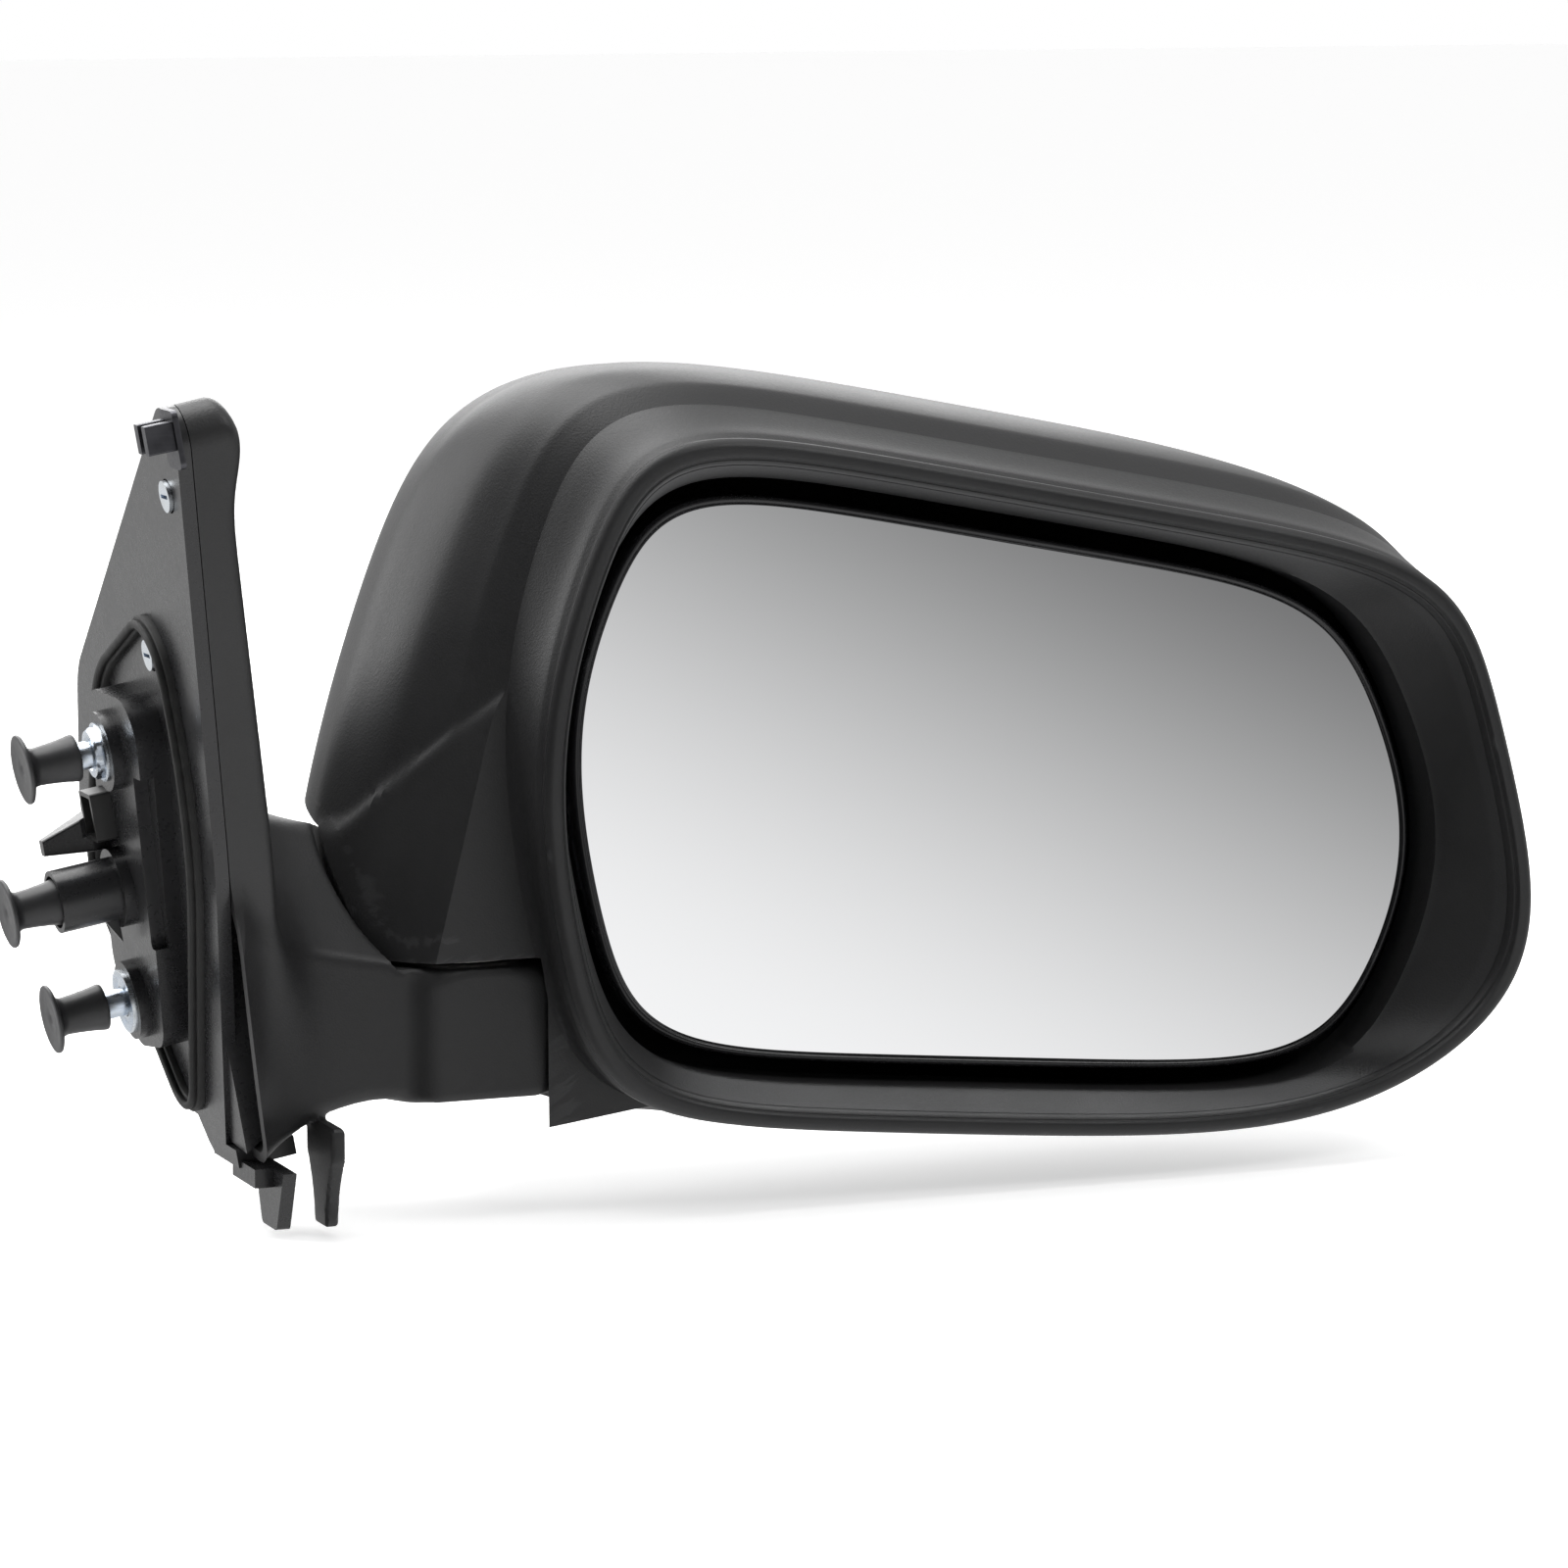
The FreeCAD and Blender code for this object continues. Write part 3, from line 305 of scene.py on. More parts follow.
def soft_union(a, b, k):
    """Union whose inside corner is filled with a fillet of about k."""
    blend = np.maximum(k - np.abs(a - b), 0.0) / k
    return np.minimum(a, b) - blend * blend * k * 0.25


def round_meet(a, b, r):
    """Intersection whose outside corner is rounded by r."""
    u, v = np.maximum(a + r, 0.0), np.maximum(b + r, 0.0)
    return np.minimum(np.maximum(a, b), -r) + np.hypot(u, v)


def slab(value, low, high):
    return np.maximum(low - value, value - high)


def surface_nets(field, low, high, cell):
    """Points and quads of a field's zero surface on a regular lattice, drawn onto the true surface."""
    axes = [np.arange(lo, hi + cell, cell) for lo, hi in zip(low, high)]
    value = field(*np.meshgrid(*axes, indexing="ij"))
    shape = [n - 1 for n in value.shape]
    total = np.zeros(shape + [3])
    count = np.zeros(shape)

    def corner(offset):
        return value[tuple(slice(o, o + n) for o, n in zip(offset, shape))]

    for axis in range(3):
        others = [k for k in range(3) if k != axis]
        for first in (0, 1):
            for second in (0, 1):
                offset = [0, 0, 0]
                offset[others[0]], offset[others[1]] = first, second
                near = corner(offset)
                far = corner([o + (k == axis) for k, o in enumerate(offset)])
                crossing = (near < 0) != (far < 0)
                share = np.where(crossing, near / np.where(crossing, near - far, 1.0), 0.0)
                count += crossing
                for k in range(3):
                    total[..., k] += np.where(crossing, share if k == axis else offset[k], 0.0)
    active = count > 0
    index = np.full(shape, -1)
    index[active] = np.arange(int(active.sum()))
    where = np.argwhere(active)
    points = (where + total[active] / count[active][:, None]) * cell + np.array([a[0] for a in axes])
    quads = []
    for axis in range(3):
        others = [k for k in range(3) if k != axis]
        inner = [slice(1, n) for n in shape]
        inner[axis] = slice(0, shape[axis])
        ahead = list(inner)
        ahead[axis] = slice(1, shape[axis] + 1)
        near, far = value[tuple(inner)], value[tuple(ahead)]
        spots = np.argwhere((near < 0) != (far < 0))
        inside_first = near[tuple(spots.T)] < 0
        spots = spots + np.array([0 if k == axis else 1 for k in range(3)])
        ring = []
        for first, second in ((0, 0), (1, 0), (1, 1), (0, 1)):
            cellspot = spots.copy()
            cellspot[:, others[0]] -= first
            cellspot[:, others[1]] -= second
            ring.append(index[tuple(cellspot.T)])
        ring = np.stack(ring, 1)
        flip = inside_first if axis != 1 else ~inside_first
        ring[flip] = ring[flip][:, ::-1]
        quads.append(ring)
    points = settle(field, points, cell)
    return points, np.concatenate(quads).tolist()


def settle(field, points, cell):
    """Move points along the field's slope onto its zero surface, never by more than half a cell."""
    start = points.copy()
    step = 0.05
    for _ in range(3):
        here = field(*points.T)
        slope = np.stack([(field(*(points + step * unit).T) - field(*(points - step * unit).T)) / (2 * step)
                          for unit in np.eye(3)], 1)
        size = np.maximum((slope ** 2).sum(1), 0.25)
        points = points - (here / size)[:, None] * slope
        points = np.clip(points, start - cell / 2, start + cell / 2)
    return points


# ------------------------------------------------------------------ sail base: outer form of the cover
def between(stations, x):
    """Smooth value through (x, value) stations."""
    xs = np.array([s[0] for s in stations], float)
    ys = np.array([s[1] for s in stations], float)
    slopes = np.gradient(ys, xs)
    x = np.clip(x, xs[0], xs[-1])
    i = np.clip(np.searchsorted(xs, x) - 1, 0, len(xs) - 2)
    width = xs[i + 1] - xs[i]
    t = (x - xs[i]) / width
    return (ys[i] * (1 + 2 * t) * (1 - t) ** 2 + slopes[i] * width * t * (1 - t) ** 2
            + ys[i + 1] * t * t * (3 - 2 * t) + slopes[i + 1] * width * t * t * (t - 1))


def arm_field(x, y, z):
    corners = []
    for i in range(5):
        corners.append(tuple(between([(sx, section[i][k]) for sx, section in ARM], x) for k in range(3)))
    return np.maximum(polygon_distance(corners, y, z), x - ARM[-1][0])


def sail_field(x, y, z):
    """Thin dome of the sail; it lifts into a small ear near its top corner."""
    a, y, up = to_lean(x, y, z)
    tilt = math.radians(COVER_TILT)
    pivot_up = 112.0
    da, du = a - COVER_A, up - pivot_up
    a = COVER_A + da * math.cos(tilt) + du * math.sin(tilt)
    up = pivot_up + du * math.cos(tilt) - da * math.sin(tilt)
    ear = 3.2 * np.exp(-((up - 97.0) / 10.0) ** 2)
    hollow = 1.2 * np.exp(-((up + 46.0) / 14.0) ** 2 - ((y + 22.0) / 10.0) ** 2)
    top = COVER_A + COVER_H + ear - hollow
    return round_meet(polygon_distance(PLATE, y, up), a - top, 2.6)


def pedestal_field(x, y, z):
    side = np.hypot(x - FOLD_X, y - FOLD_Y) - PED_R
    body = round_meet(round_meet(side, z - PED_TOP, 5.0), PED_BOTTOM - z, 1.6)
    return round_meet(body, FACET_Y - y, 1.3)


def dish_field(x, y, z, gap):
    """Room for the head's lower inboard end above the pedestal."""
    r = np.hypot(x - FOLD_X, y - FOLD_Y)
    share = np.clip((z - PED_TOP) / (DISH_Z - PED_TOP), 0.0, 1.0)
    return round_meet((r - (DISH_LOW + (DISH_HIGH - DISH_LOW) * share) - gap) * 0.98, PED_TOP - z, 0.01)


def tail_field(x, y, z, x_mid, y_mid, top, bottom, half):
    """Short tongue that widens upwards."""
    share = np.clip((z - bottom) / (top - bottom), 0.0, 1.0)
    wide = half + 5.0 * share ** 2
    flat = round_meet(np.abs(y - y_mid) - wide, slab(z, bottom, top + 7), 1.2)
    return round_meet(flat, np.abs(x - x_mid) - 1.5, 0.7)


def cover_outer(x, y, z):
    body = soft_union(arm_field(x, y, z), pedestal_field(x, y, z), 1.6)
    body = soft_union(body, sail_field(x, y, z), 9.0)
    dish = dish_field(x, y, z, DISH_GAP)
    body = round_meet(body, -dish, 0.9)
    return soft_union(body, tail_field(x, y, z, 35.9, -33.5, -56.0, -71.0, 4.0), 2.0)


def cover_wall(x, y, z):
    """Moulded skin of the cover, carried a little past its back plane so that the plane can be cut clean."""
    outer = cover_outer(x, y, z)
    a, _, _ = to_lean(x, y, z)
    return np.maximum(np.maximum(outer, -(outer + SKIN)), COVER_A - 3.0 - a)


BOX_FACES = [(0, 1, 3, 2), (4, 6, 7, 5), (0, 4, 5, 1), (2, 3, 7, 6), (0, 2, 6, 4), (1, 5, 7, 3)]


def block(low, high, place=Vector):
    """Cutting block between two corners; place turns (x, y, z) into a point."""
    (x0, y0, z0), (x1, y1, z1) = low, high
    return [place((x, y, z)) for x in (x0, x1) for y in (y0, y1) for z in (z0, z1)], BOX_FACES


def leaned_block(low, high):
    return block(low, high, lambda corner: leaned(*corner))


def leaned_rod(radius, low, high, y, up, segments=40):
    """Round bar along the outboard direction."""
    profile = [(0, low), (radius, low), (radius, high), (0, high)]
    return solid_lathe(profile, leaned(0, y, up), OUTBOARD, segments)


def base_cover():
    cell = 0.9
    points, quads = surface_nets(cover_wall, (-14, -88, -76), (102, 62, 116), cell)
    obj = make_object("base_cover_shell", points, quads, 40.0)
    for y, up in SCREWS:
        boss = leaned_rod(3.4, COVER_A - 1, COVER_A + COVER_H - 1.2, y, up)
        combine(obj, tool(boss), "UNION", "EXACT")
        hole = leaned_rod(1.5, COVER_A - 2, COVER_A + 3.4, y, up)
        combine(obj, tool(hole), "DIFFERENCE", "EXACT")
    gap = CORE_GAP
    cutters = [
        leaned_block((0, -24 - gap, -62 - gap), (22 + gap, -6 + gap, -58 + gap)),
        block((20 - gap, -34 - gap, -62 - gap), (27 + gap, -18 + gap, -58 + gap)),
        drum(9.4, -30, -10),
        drum(9.0, -60, -40),
        leaned_block((-60, -150, -150), (COVER_A, 150, 160)),
    ]
    for cutter in cutters:
        combine(obj, tool(cutter), "DIFFERENCE", "EXACT")
    shade(obj, 32.0)
    return finish_piece(obj, "base", "textured_plastic", ["base_cover"])


# ------------------------------------------------------------------ rubber, studs, caps
def outline_points(corners, inset, count=360):
    """Points round a rounded outline, moved inwards, found on rays from its middle."""
    middle_y = sum(c[0] for c in corners) / len(corners)
    middle_up = sum(c[1] for c in corners) / len(corners)
    angles = np.linspace(0, 2 * math.pi, count, endpoint=False)
    near, far = np.zeros(count), np.full(count, 200.0)
    for _ in range(40):
        mid = (near + far) / 2
        ys, ups = middle_y + mid * np.cos(angles), middle_up + mid * np.sin(angles)
        inside = polygon_distance(corners, ys, ups) < -inset
        near, far = np.where(inside, mid, near), np.where(inside, far, mid)
    return middle_y + near * np.cos(angles), middle_up + near * np.sin(angles)


def door_gasket():
    """Lip seal: a foot glued to the plate, a narrow groove and a rounded sealing bead."""
    section = [(0.0, 0.0), (0.0, 1.3), (0.35, 1.6), (0.9, 1.6), (0.7, 2.2), (0.8, 2.7), (1.2, 2.96),
               (1.7, 3.0), (2.2, 2.9), (2.5, 2.5), (2.5, 2.0), (2.35, 1.6), (2.9, 1.6), (3.2, 1.3),
               (3.2, 0.0), (1.6, 0.0)]
    points = []
    for inset, height in section:
        ys, ups = outline_points(GASKET, inset)
        points.extend(leaned(FACE_A - height * GASKET_H / 3.0, y, up) for y, up in zip(ys, ups))
    obj = make_object("door_gasket_lip", points, grid_faces(len(section), 360, True), 50.0)
    return finish_piece(obj, "base", "gasket_rubber", ["door_gasket"])


def thread_radius(angle, height, turns_up):
    """Radius of a 60 degree thread that fades out at both ends."""
    phase = (height / THREAD_PITCH - angle / (2 * math.pi)) % 1.0
    tooth = min(1.0, max(0.0, 1.6 - abs(phase - 0.5) * 4.0))
    fade = min(1.0, max(0.0, height / 0.8)) * min(1.0, max(0.0, (turns_up - height) / 0.6))
    return 2.42 + 0.5 * tooth * fade


def stud(y, up, length, collar):
    """Stud with a rolled thread, plain shoulder and a plain round head at its root."""
    segments, per_turn = 40, 9
    rings = [(0.02, 0.0), (1.9, 0.0), (2.35, 0.5)]
    rows = [[r] * segments for r, _ in rings]
    heights = [h for _, h in rings]
    for i in range(int(THREAD_LEN / THREAD_PITCH * per_turn)):
        height = i * THREAD_PITCH / per_turn
        rows.append([thread_radius(2 * math.pi * j / segments, height, THREAD_LEN - 1)
                     for j in range(segments)])
        heights.append(0.8 + height * (THREAD_LEN - 1.0) / THREAD_LEN)
    root = length + FACE_A
    for r, height in ((2.42, THREAD_LEN - 0.2), (2.8, THREAD_LEN), (3.0, THREAD_LEN + 0.3),
                      (3.0, length - collar), (3.2, length - collar + 0.05), (3.2, root - 1.5),
                      (5.5, root - 1.4), (5.6, root + 2.2), (0.02, root + 2.3)):
        rows.append([r] * segments)
        heights.append(height)
    points = []
    for row, height in zip(rows, heights):
        for j, r in enumerate(row):
            angle = 2 * math.pi * j / segments
            points.append(leaned(-length + height, y + r * math.cos(angle), up + r * math.sin(angle)))
    faces = grid_faces(len(rows), segments)
    last = (len(rows) - 1) * segments
    faces += [tuple(range(segments)), tuple(range(last, last + segments))]
    return points, faces


def mounting_studs():
    parts = [stud(y, up, length, collar) for (_, y, up, length), collar in zip(STUDS, COLLARS)]
    return finish_piece(join("rolled_studs", parts, 38.0), "base", "zinc_steel", ["mounting_studs"])


def hex_collar(y, up, height):
    """Hexagon collar with a washer face and chamfered corners."""
    count, flat = 96, 5.0
    rows = [(-0.05, None, 3.22), (-0.05, None, 6.4), (-0.5, None, 6.4), (-0.8, None, 5.9),
            (-0.8, 0.0, 0.0), (-height + 0.5, 0.0, 0.0), (-height, 0.45, 0.0), (-height, None, 3.9),
            (-height + 0.5, None, 3.22)]
    points = []
    for a, trim, radius in rows:
        for j in range(count):
            angle = 2 * math.pi * j / count
            r = radius
            if trim is not None:
                across = flat / math.cos((angle + math.pi / 6) % (math.pi / 3) - math.pi / 6)
                r = min(across, flat / math.cos(math.pi / 6) - 0.2 - trim * 1.2)
            points.append(leaned(a, y + r * math.cos(angle), up + r * math.sin(angle)))
    return points, grid_faces(len(rows), count, True)


def star_ring(y, up, height):
    """Push-on ring with a raised rim and gripping teeth round its bore."""
    count = 96
    rows = [(0.0, 3.3, 0.0), (0.0, 7.0, 0.0), (-height, 7.0, 0.0), (-height, 6.4, 0.0),
            (-height * 0.55, 5.6, 0.0), (-height * 0.55, 4.9, 0.35), (-height, 3.6, 0.35),
            (-height * 0.9, 3.22, 0.25)]
    points = []
    for a, radius, wave in rows:
        for j in range(count):
            angle = 2 * math.pi * j / count
            r = radius + wave * (0.5 + 0.5 * math.cos(6 * angle))
            points.append(leaned(a - 0.02, y + r * math.cos(angle), up + r * math.sin(angle)))
    return points, grid_faces(len(rows), count, True)


def stud_collars():
    (_, top_y, top_up, _), _, (_, low_y, low_up, _) = STUDS
    parts = [hex_collar(top_y, top_up, COLLARS[0]), star_ring(low_y, low_up, COLLARS[2])]
    return finish_piece(join("plated_collars", parts, 30.0), "base", "zinc_steel", ["stud_collars"])


def stud_cap(which, y, up, length):
    """Push-on cap: dished disc, concave fillet, barrel that widens to a rolled mouth, blind bore."""
    neck = [(4.05 + 2.2 * (1 - math.sin(t)), 1.1 + 2.2 * (1 - math.cos(t)))
            for t in np.linspace(0.0, math.pi / 2, 9)]
    outer = [(0.0, 0.55), (0.9, 0.5), (1.2, 0.35), (3.5, 0.3), (6.2, 0.12), (7.0, 0.0),
             (CAP_FLANGE_R - 0.1, 0.15), (CAP_FLANGE_R, 0.5), (CAP_FLANGE_R - 0.15, 0.85), (6.9, 1.05)]
    mouth = [(4.25, 6.0), (4.6, 9.0), (4.95, CAP_LEN - 1.2), (5.05, CAP_LEN - 0.5), (4.9, CAP_LEN - 0.1),
             (4.5, CAP_LEN), (3.3, CAP_LEN), (2.96, CAP_LEN - 0.3), (2.96, 1.35), (0.0, 1.3)]
    profile = outer + neck + mouth
    part = solid_lathe(profile, leaned(-length - 1.6, y, up), OUTBOARD, 72)
    obj = join("cap_" + which + "_moulding", [part], 40.0)
    return finish_piece(obj, "cap_" + which, "cap_plastic", ["stud_cap_" + which])


# ------------------------------------------------------------------ head shell
COLUMNS = 720
ANGLES = np.linspace(0, 2 * math.pi, COLUMNS, endpoint=False)


def soft_radius(sides, power=SOFT):
    """Radius at every column of a soft polygon given as (direction, distance)."""
    total = 0.0
    for direction, distance in sides:
        total = total + (np.maximum(0.0, np.cos(ANGLES - math.radians(direction))) / distance) ** power
    return total ** (-1.0 / power)


def grown(sides, amount):
    return soft_radius([(direction, distance + amount) for direction, distance in sides])


def head_sides(y):
    """Distances of the six sides of the head at depth y."""
    if y >= 0.0:
        t = min(y / NOSE_Y, 0.9995)
        return [d * math.sqrt(1.0 - t ** full) for d, full in zip(HEAD_STATIONS[-1][1], FRONT_FULLNESS)]
    last = len(HEAD_STATIONS) - 1
    i = max(k for k in range(last) if y >= HEAD_STATIONS[k][0] or k == 0)
    picks = [HEAD_STATIONS[max(0, min(last, i + k))] for k in (-1, 0, 1, 2)]
    t = (y - picks[1][0]) / (picks[2][0] - picks[1][0])
    sides = []
    for p0, p1, p2, p3 in zip(*[pick[1] for pick in picks]):
        bend = (2 * p0 - 5 * p1 + 4 * p2 - p3) * t ** 2 + (3 * p1 - p0 - 3 * p2 + p3) * t ** 3
        sides.append(p1 + 0.5 * ((p2 - p0) * t + bend))
    return sides


def main_ring(y, wall=0.0):
    share = min(1.0, max(0.0, (y - FACET_Y) / -FACET_Y))
    sides = [(RIM_SIDES[i][0], d - wall) for i, d in enumerate(head_sides(y))]
    return soft_radius(sides, SOFT + (REAR_SOFT - SOFT) * share)


def smoothed(radii, columns):
    """Weighted running mean round a ring, so that no face of it runs along a column."""
    weights = np.hanning(columns + 2)[1:-1]
    wrapped = np.concatenate([radii[-columns:], radii, radii[:columns]])
    return np.convolve(wrapped, weights / weights.sum(), mode="same")[columns:-columns]


def knuckle_ring(y):
    (y0, dir0, d0), (y1, dir1, d1) = KNUCKLE_LEFT
    t = math.sin(min(1.0, max(0.0, (y - y0) / (y1 - y0))) * math.pi / 2)
    shrink = math.sqrt(max(1e-6, 1.0 - (max(0.0, y - y1) / (NOSE_Y - y1)) ** 2.0))
    left = (dir0 + (dir1 - dir0) * t, (d0 + (d1 - d0) * t) * shrink)
    top = (90.0, (KNUCKLE_TOP[0] + (KNUCKLE_TOP[1] - KNUCKLE_TOP[0]) * t) * shrink)
    return smoothed(soft_radius([left, top] + [(d, r * shrink) for d, r in KNUCKLE_REST], 14.0), 15)


def body_ring(y):
    """Main form and knuckle together, their crease softening away from the facet."""
    k = min(9.0, 2.0 + 0.55 * max(0.0, y - FACET_Y))
    return -soft_union(-main_ring(y), -knuckle_ring(y), k)


def head_outer_rows():
    """Rings (depth, radii) from the nose back to the rim's inner edge."""
    rows = []
    for t in np.linspace(0.03, math.pi / 2, 44):
        y = NOSE_Y * math.cos(t)
        rows.append((y, body_ring(y)))
    for y in np.append(np.arange(-1.5, -24.0, -1.5), np.arange(-24.0, FACET_Y, -0.6)):
        rows.append((y, body_ring(y)))
    edge, knuckle = main_ring(FACET_Y), body_ring(FACET_Y)
    for share in (1.0, 0.75, 0.5, 0.25, 0.0):
        rows.append((FACET_Y - 0.08 * (1.0 - share), edge + (knuckle - edge) * share))
    for y in np.arange(FACET_Y - 0.8, -46.6, -0.8):
        valley = 0.9 * math.exp(-((y + 45.6) / 0.9) ** 2)
        rows.append((y, main_ring(y) - valley))
    inner, outer = soft_radius(RIM_SIDES), main_ring(RIM_Y)
    for share in np.linspace(1.0, 0.0, 25):
        crown = 2.0 * abs(2 * share - 1.1) ** 3.0
        groove = 0.55 * math.exp(-((share - 0.27) / 0.06) ** 2)
        rows.append((RIM_Y + crown + groove, inner + (outer - inner) * share))
    return rows


def funnel_rows(grow, y_rim, y_end):
    """Inner wall from the rim to the throat round the glass."""
    rows = []
    rim, glass = grown(RIM_SIDES, grow), grown(GLASS_SIDES, GLASS_GAP + grow)
    for share in np.linspace(0.0, 1.0, 8):
        rows.append((y_rim + (GLASS_Y - 1.5 - y_rim) * share, rim + (glass - rim) * share))
    rows.append((y_end, glass))
    return rows


def ring_mesh(rows, cap_first, cap_last):
    """Closed mesh from rings; caps are centre points at the given depths."""
    points = []
    for y, radii in rows:
        xs, zs = GLASS_X + radii * np.cos(ANGLES), GLASS_Z + radii * np.sin(ANGLES)
        points.extend(zip(xs, np.full(COLUMNS, y), zs))
    faces = grid_faces(len(rows), COLUMNS)
    for depth, start in ((cap_first, 0), (cap_last, (len(rows) - 1) * COLUMNS)):
        centre = len(points)
        points.append((GLASS_X, depth, GLASS_Z))
        faces.extend((start + j, start + (j + 1) % COLUMNS, centre) for j in range(COLUMNS))
    return points, faces


def on_fold_axis(profile):
    """Cutter or wall turned round the fold axis from (radius, height) corners."""
    if profile[0][0] == 0:
        return solid_lathe(profile, (FOLD_X, FOLD_Y, 0), (0, 0, 1), 160)
    return lathe(profile, (FOLD_X, FOLD_Y, 0), (0, 0, 1), 160)


def drum(radius, low, high):
    return on_fold_axis([(0, low), (radius, low), (radius, high), (0, high)])


def sector(profile, start, sweep, steps=104):
    """Closed outline (radius, height) swept part of the way round the fold axis."""
    points = []
    for i in range(steps + 1):
        angle = math.radians(start + sweep * i / steps)
        points.extend((FOLD_X + r * math.cos(angle), FOLD_Y + r * math.sin(angle), z) for r, z in profile)
    faces = grid_faces(steps + 1, len(profile))
    last = steps * len(profile)
    return points, faces + [tuple(range(len(profile))), tuple(range(last, last + len(profile)))]


def head_shell():
    outer_rows = head_outer_rows()
    inner_wall = [(y, main_ring(y, SKIN)) for y in np.arange(-45.0, 0.0, 2.5)]
    for t in np.linspace(math.pi / 2, 0.05, 26):
        y = (NOSE_Y - SKIN) * math.cos(t)
        inner_wall.append((y, main_ring(y, SKIN)))
    back_of_funnel = funnel_rows(2.4, -45.5, -25.0)[::-1]
    rows = outer_rows + funnel_rows(0.0, -46.6, -24.0) + back_of_funnel + inner_wall
    shell = tool(ring_mesh(rows, NOSE_Y - 0.02, NOSE_Y - SKIN - 0.05), "head_shell_skin")
    envelope = tool(ring_mesh(outer_rows, NOSE_Y - 0.02, RIM_Y + 2))
    low = DISH_LOW
    liner = tool(drum(low + SKIN, -80, PED_TOP + 4.2))
    inside = [(r - SKIN, z + SKIN) for r, z in reversed(SWEEP_LINE)]
    cone = sector(SWEEP_LINE + inside, 80, 170)
    combine(liner, tool(cone), "UNION")
    combine(liner, envelope, "INTERSECT")
    combine(shell, liner, "UNION")
    throat = ring_mesh(funnel_rows(0.0, -46.6, -24.0), -60.0, -24.0)
    combine(shell, tool(throat), "DIFFERENCE")
    combine(shell, tool(drum(low, -80, PED_TOP + 1.2)), "DIFFERENCE")
    foot = [(SWEEP_LINE[-1][0], -80), (low - 1, -80), (low - 1, PED_TOP + 1.2)]
    combine(shell, tool(sector(SWEEP_LINE + foot, 84, 162)), "DIFFERENCE")
    combine(shell, tool(drum(HUB_CAVITY_R, PED_TOP + 4.2, HUB_TOP + 0.6)), "DIFFERENCE")
    combine(shell, tool(drum(WASHER_CAVITY_R, HUB_TOP, RING_TOP)), "DIFFERENCE")
    combine(shell, tool(drum(POST_CAVITY_R, RING_TOP - 1, POST_TOP)), "DIFFERENCE")
    combine(shell, tool(drum(POST_CAVITY_R, -40, 0)), "DIFFERENCE")
    combine(shell, tool(block((CARRIER_ROOM_X, -25, -46), (101, -8, PED_TOP + 4.4))), "DIFFERENCE")
    shade(shell, 24.0)
    return finish_piece(shell, "head", "textured_plastic", ["head_shell"])


# ------------------------------------------------------------------ glass
def sphere_depth(radii, depth):
    """Depth of the convex layer at each radius from its centre line."""
    return depth + GLASS_R - np.sqrt(GLASS_R ** 2 - radii ** 2)


def curved_rows(outline, depth, shares):
    return [(sphere_depth(outline * s, depth), outline * s) for s in shares]


def mirror_glass():
    """Convex glass with a ground edge."""
    edge = grown(GLASS_SIDES, -1.6)
    spans = np.linspace(0.02, 1.0, 40)
    front = curved_rows(edge - 0.4, GLASS_Y, spans)
    bevel = [(sphere_depth(edge, GLASS_Y) + 0.35, edge)]
    back = curved_rows(edge, GLASS_Y + GLASS_T, spans[::-1])
    part = ring_mesh(front + bevel + back, GLASS_Y, GLASS_Y + GLASS_T)
    return finish_piece(make_object("convex_glass", *part, 30.0), "glass", "mirror_silver", ["mirror_glass"])


def glass_carrier():
    """Tray with a thin rounded lip round the glass, jack cups and trunnion ears."""
    back = GLASS_Y + GLASS_T + 0.8
    lip_in, lip_out = grown(GLASS_SIDES, -1.5), grown(GLASS_SIDES, 0.0)
    spans = np.linspace(0.02, 1.0, 24)
    rows = curved_rows(lip_in, back, spans)
    for share in np.linspace(0.0, 1.0, 7):
        ring = lip_in + (lip_out - lip_in) * share
        crown = 0.55 * math.sin(share * math.pi) ** 0.6
        rows.append((sphere_depth(ring, GLASS_Y + 0.25) - crown, ring))
    rows += curved_rows(lip_out, back + 1.8, spans[::-1])
    parts = [ring_mesh(rows, back, back + 1.8)]
    for x, z in ((GLASS_X, GLASS_Z + JACK_R), (GLASS_X + JACK_R, GLASS_Z)):
        cup = rounded_turn([(5.0, 0, 0), (7.0, 0, 0), (7.0, 8.0, 0.4), (5.0, 8.0, 0.3)])
        parts.append(lathe(cup, (x, -30.0, z), (0, 1, 0), 48))
    for side in (-1, 1):
        parts.append(trunnion_ear(GLASS_Z + side * 11.5))
    obj = join("glass_tray", parts, 35.0)
    return finish_piece(obj, "glass", "carrier_plastic", ["glass_carrier"])


def trunnion_ear(z):
    """Ear with a pivot hole, standing forward from the tray."""
    count, foot = 48, -31.0
    rows = []
    for side, inner in ((-2, True), (-2, False), (2, False), (2, True)):
        ring = []
        for j in range(count):
            angle = 2 * math.pi * j / count
            if inner:
                spot = (GLASS_X + 2.05 * math.cos(angle), PIVOT_Y + 2.05 * math.sin(angle))
            else:
                x = 4.0 * math.cos(angle)
                y = 4.0 * math.sin(angle)
                if y < 0:
                    reach = (PIVOT_Y - foot) / max(1e-6, abs(y) if abs(x) < 1e-6 else abs(y))
                    scale = min(reach, 4.0 / max(abs(x), 1e-6))
                    x, y = x * scale, y * scale
                spot = (GLASS_X + x, PIVOT_Y + y)
            ring.append((spot[0], spot[1], z + side))
        rows.extend(ring)
    return rows, grid_faces(4, count, True)


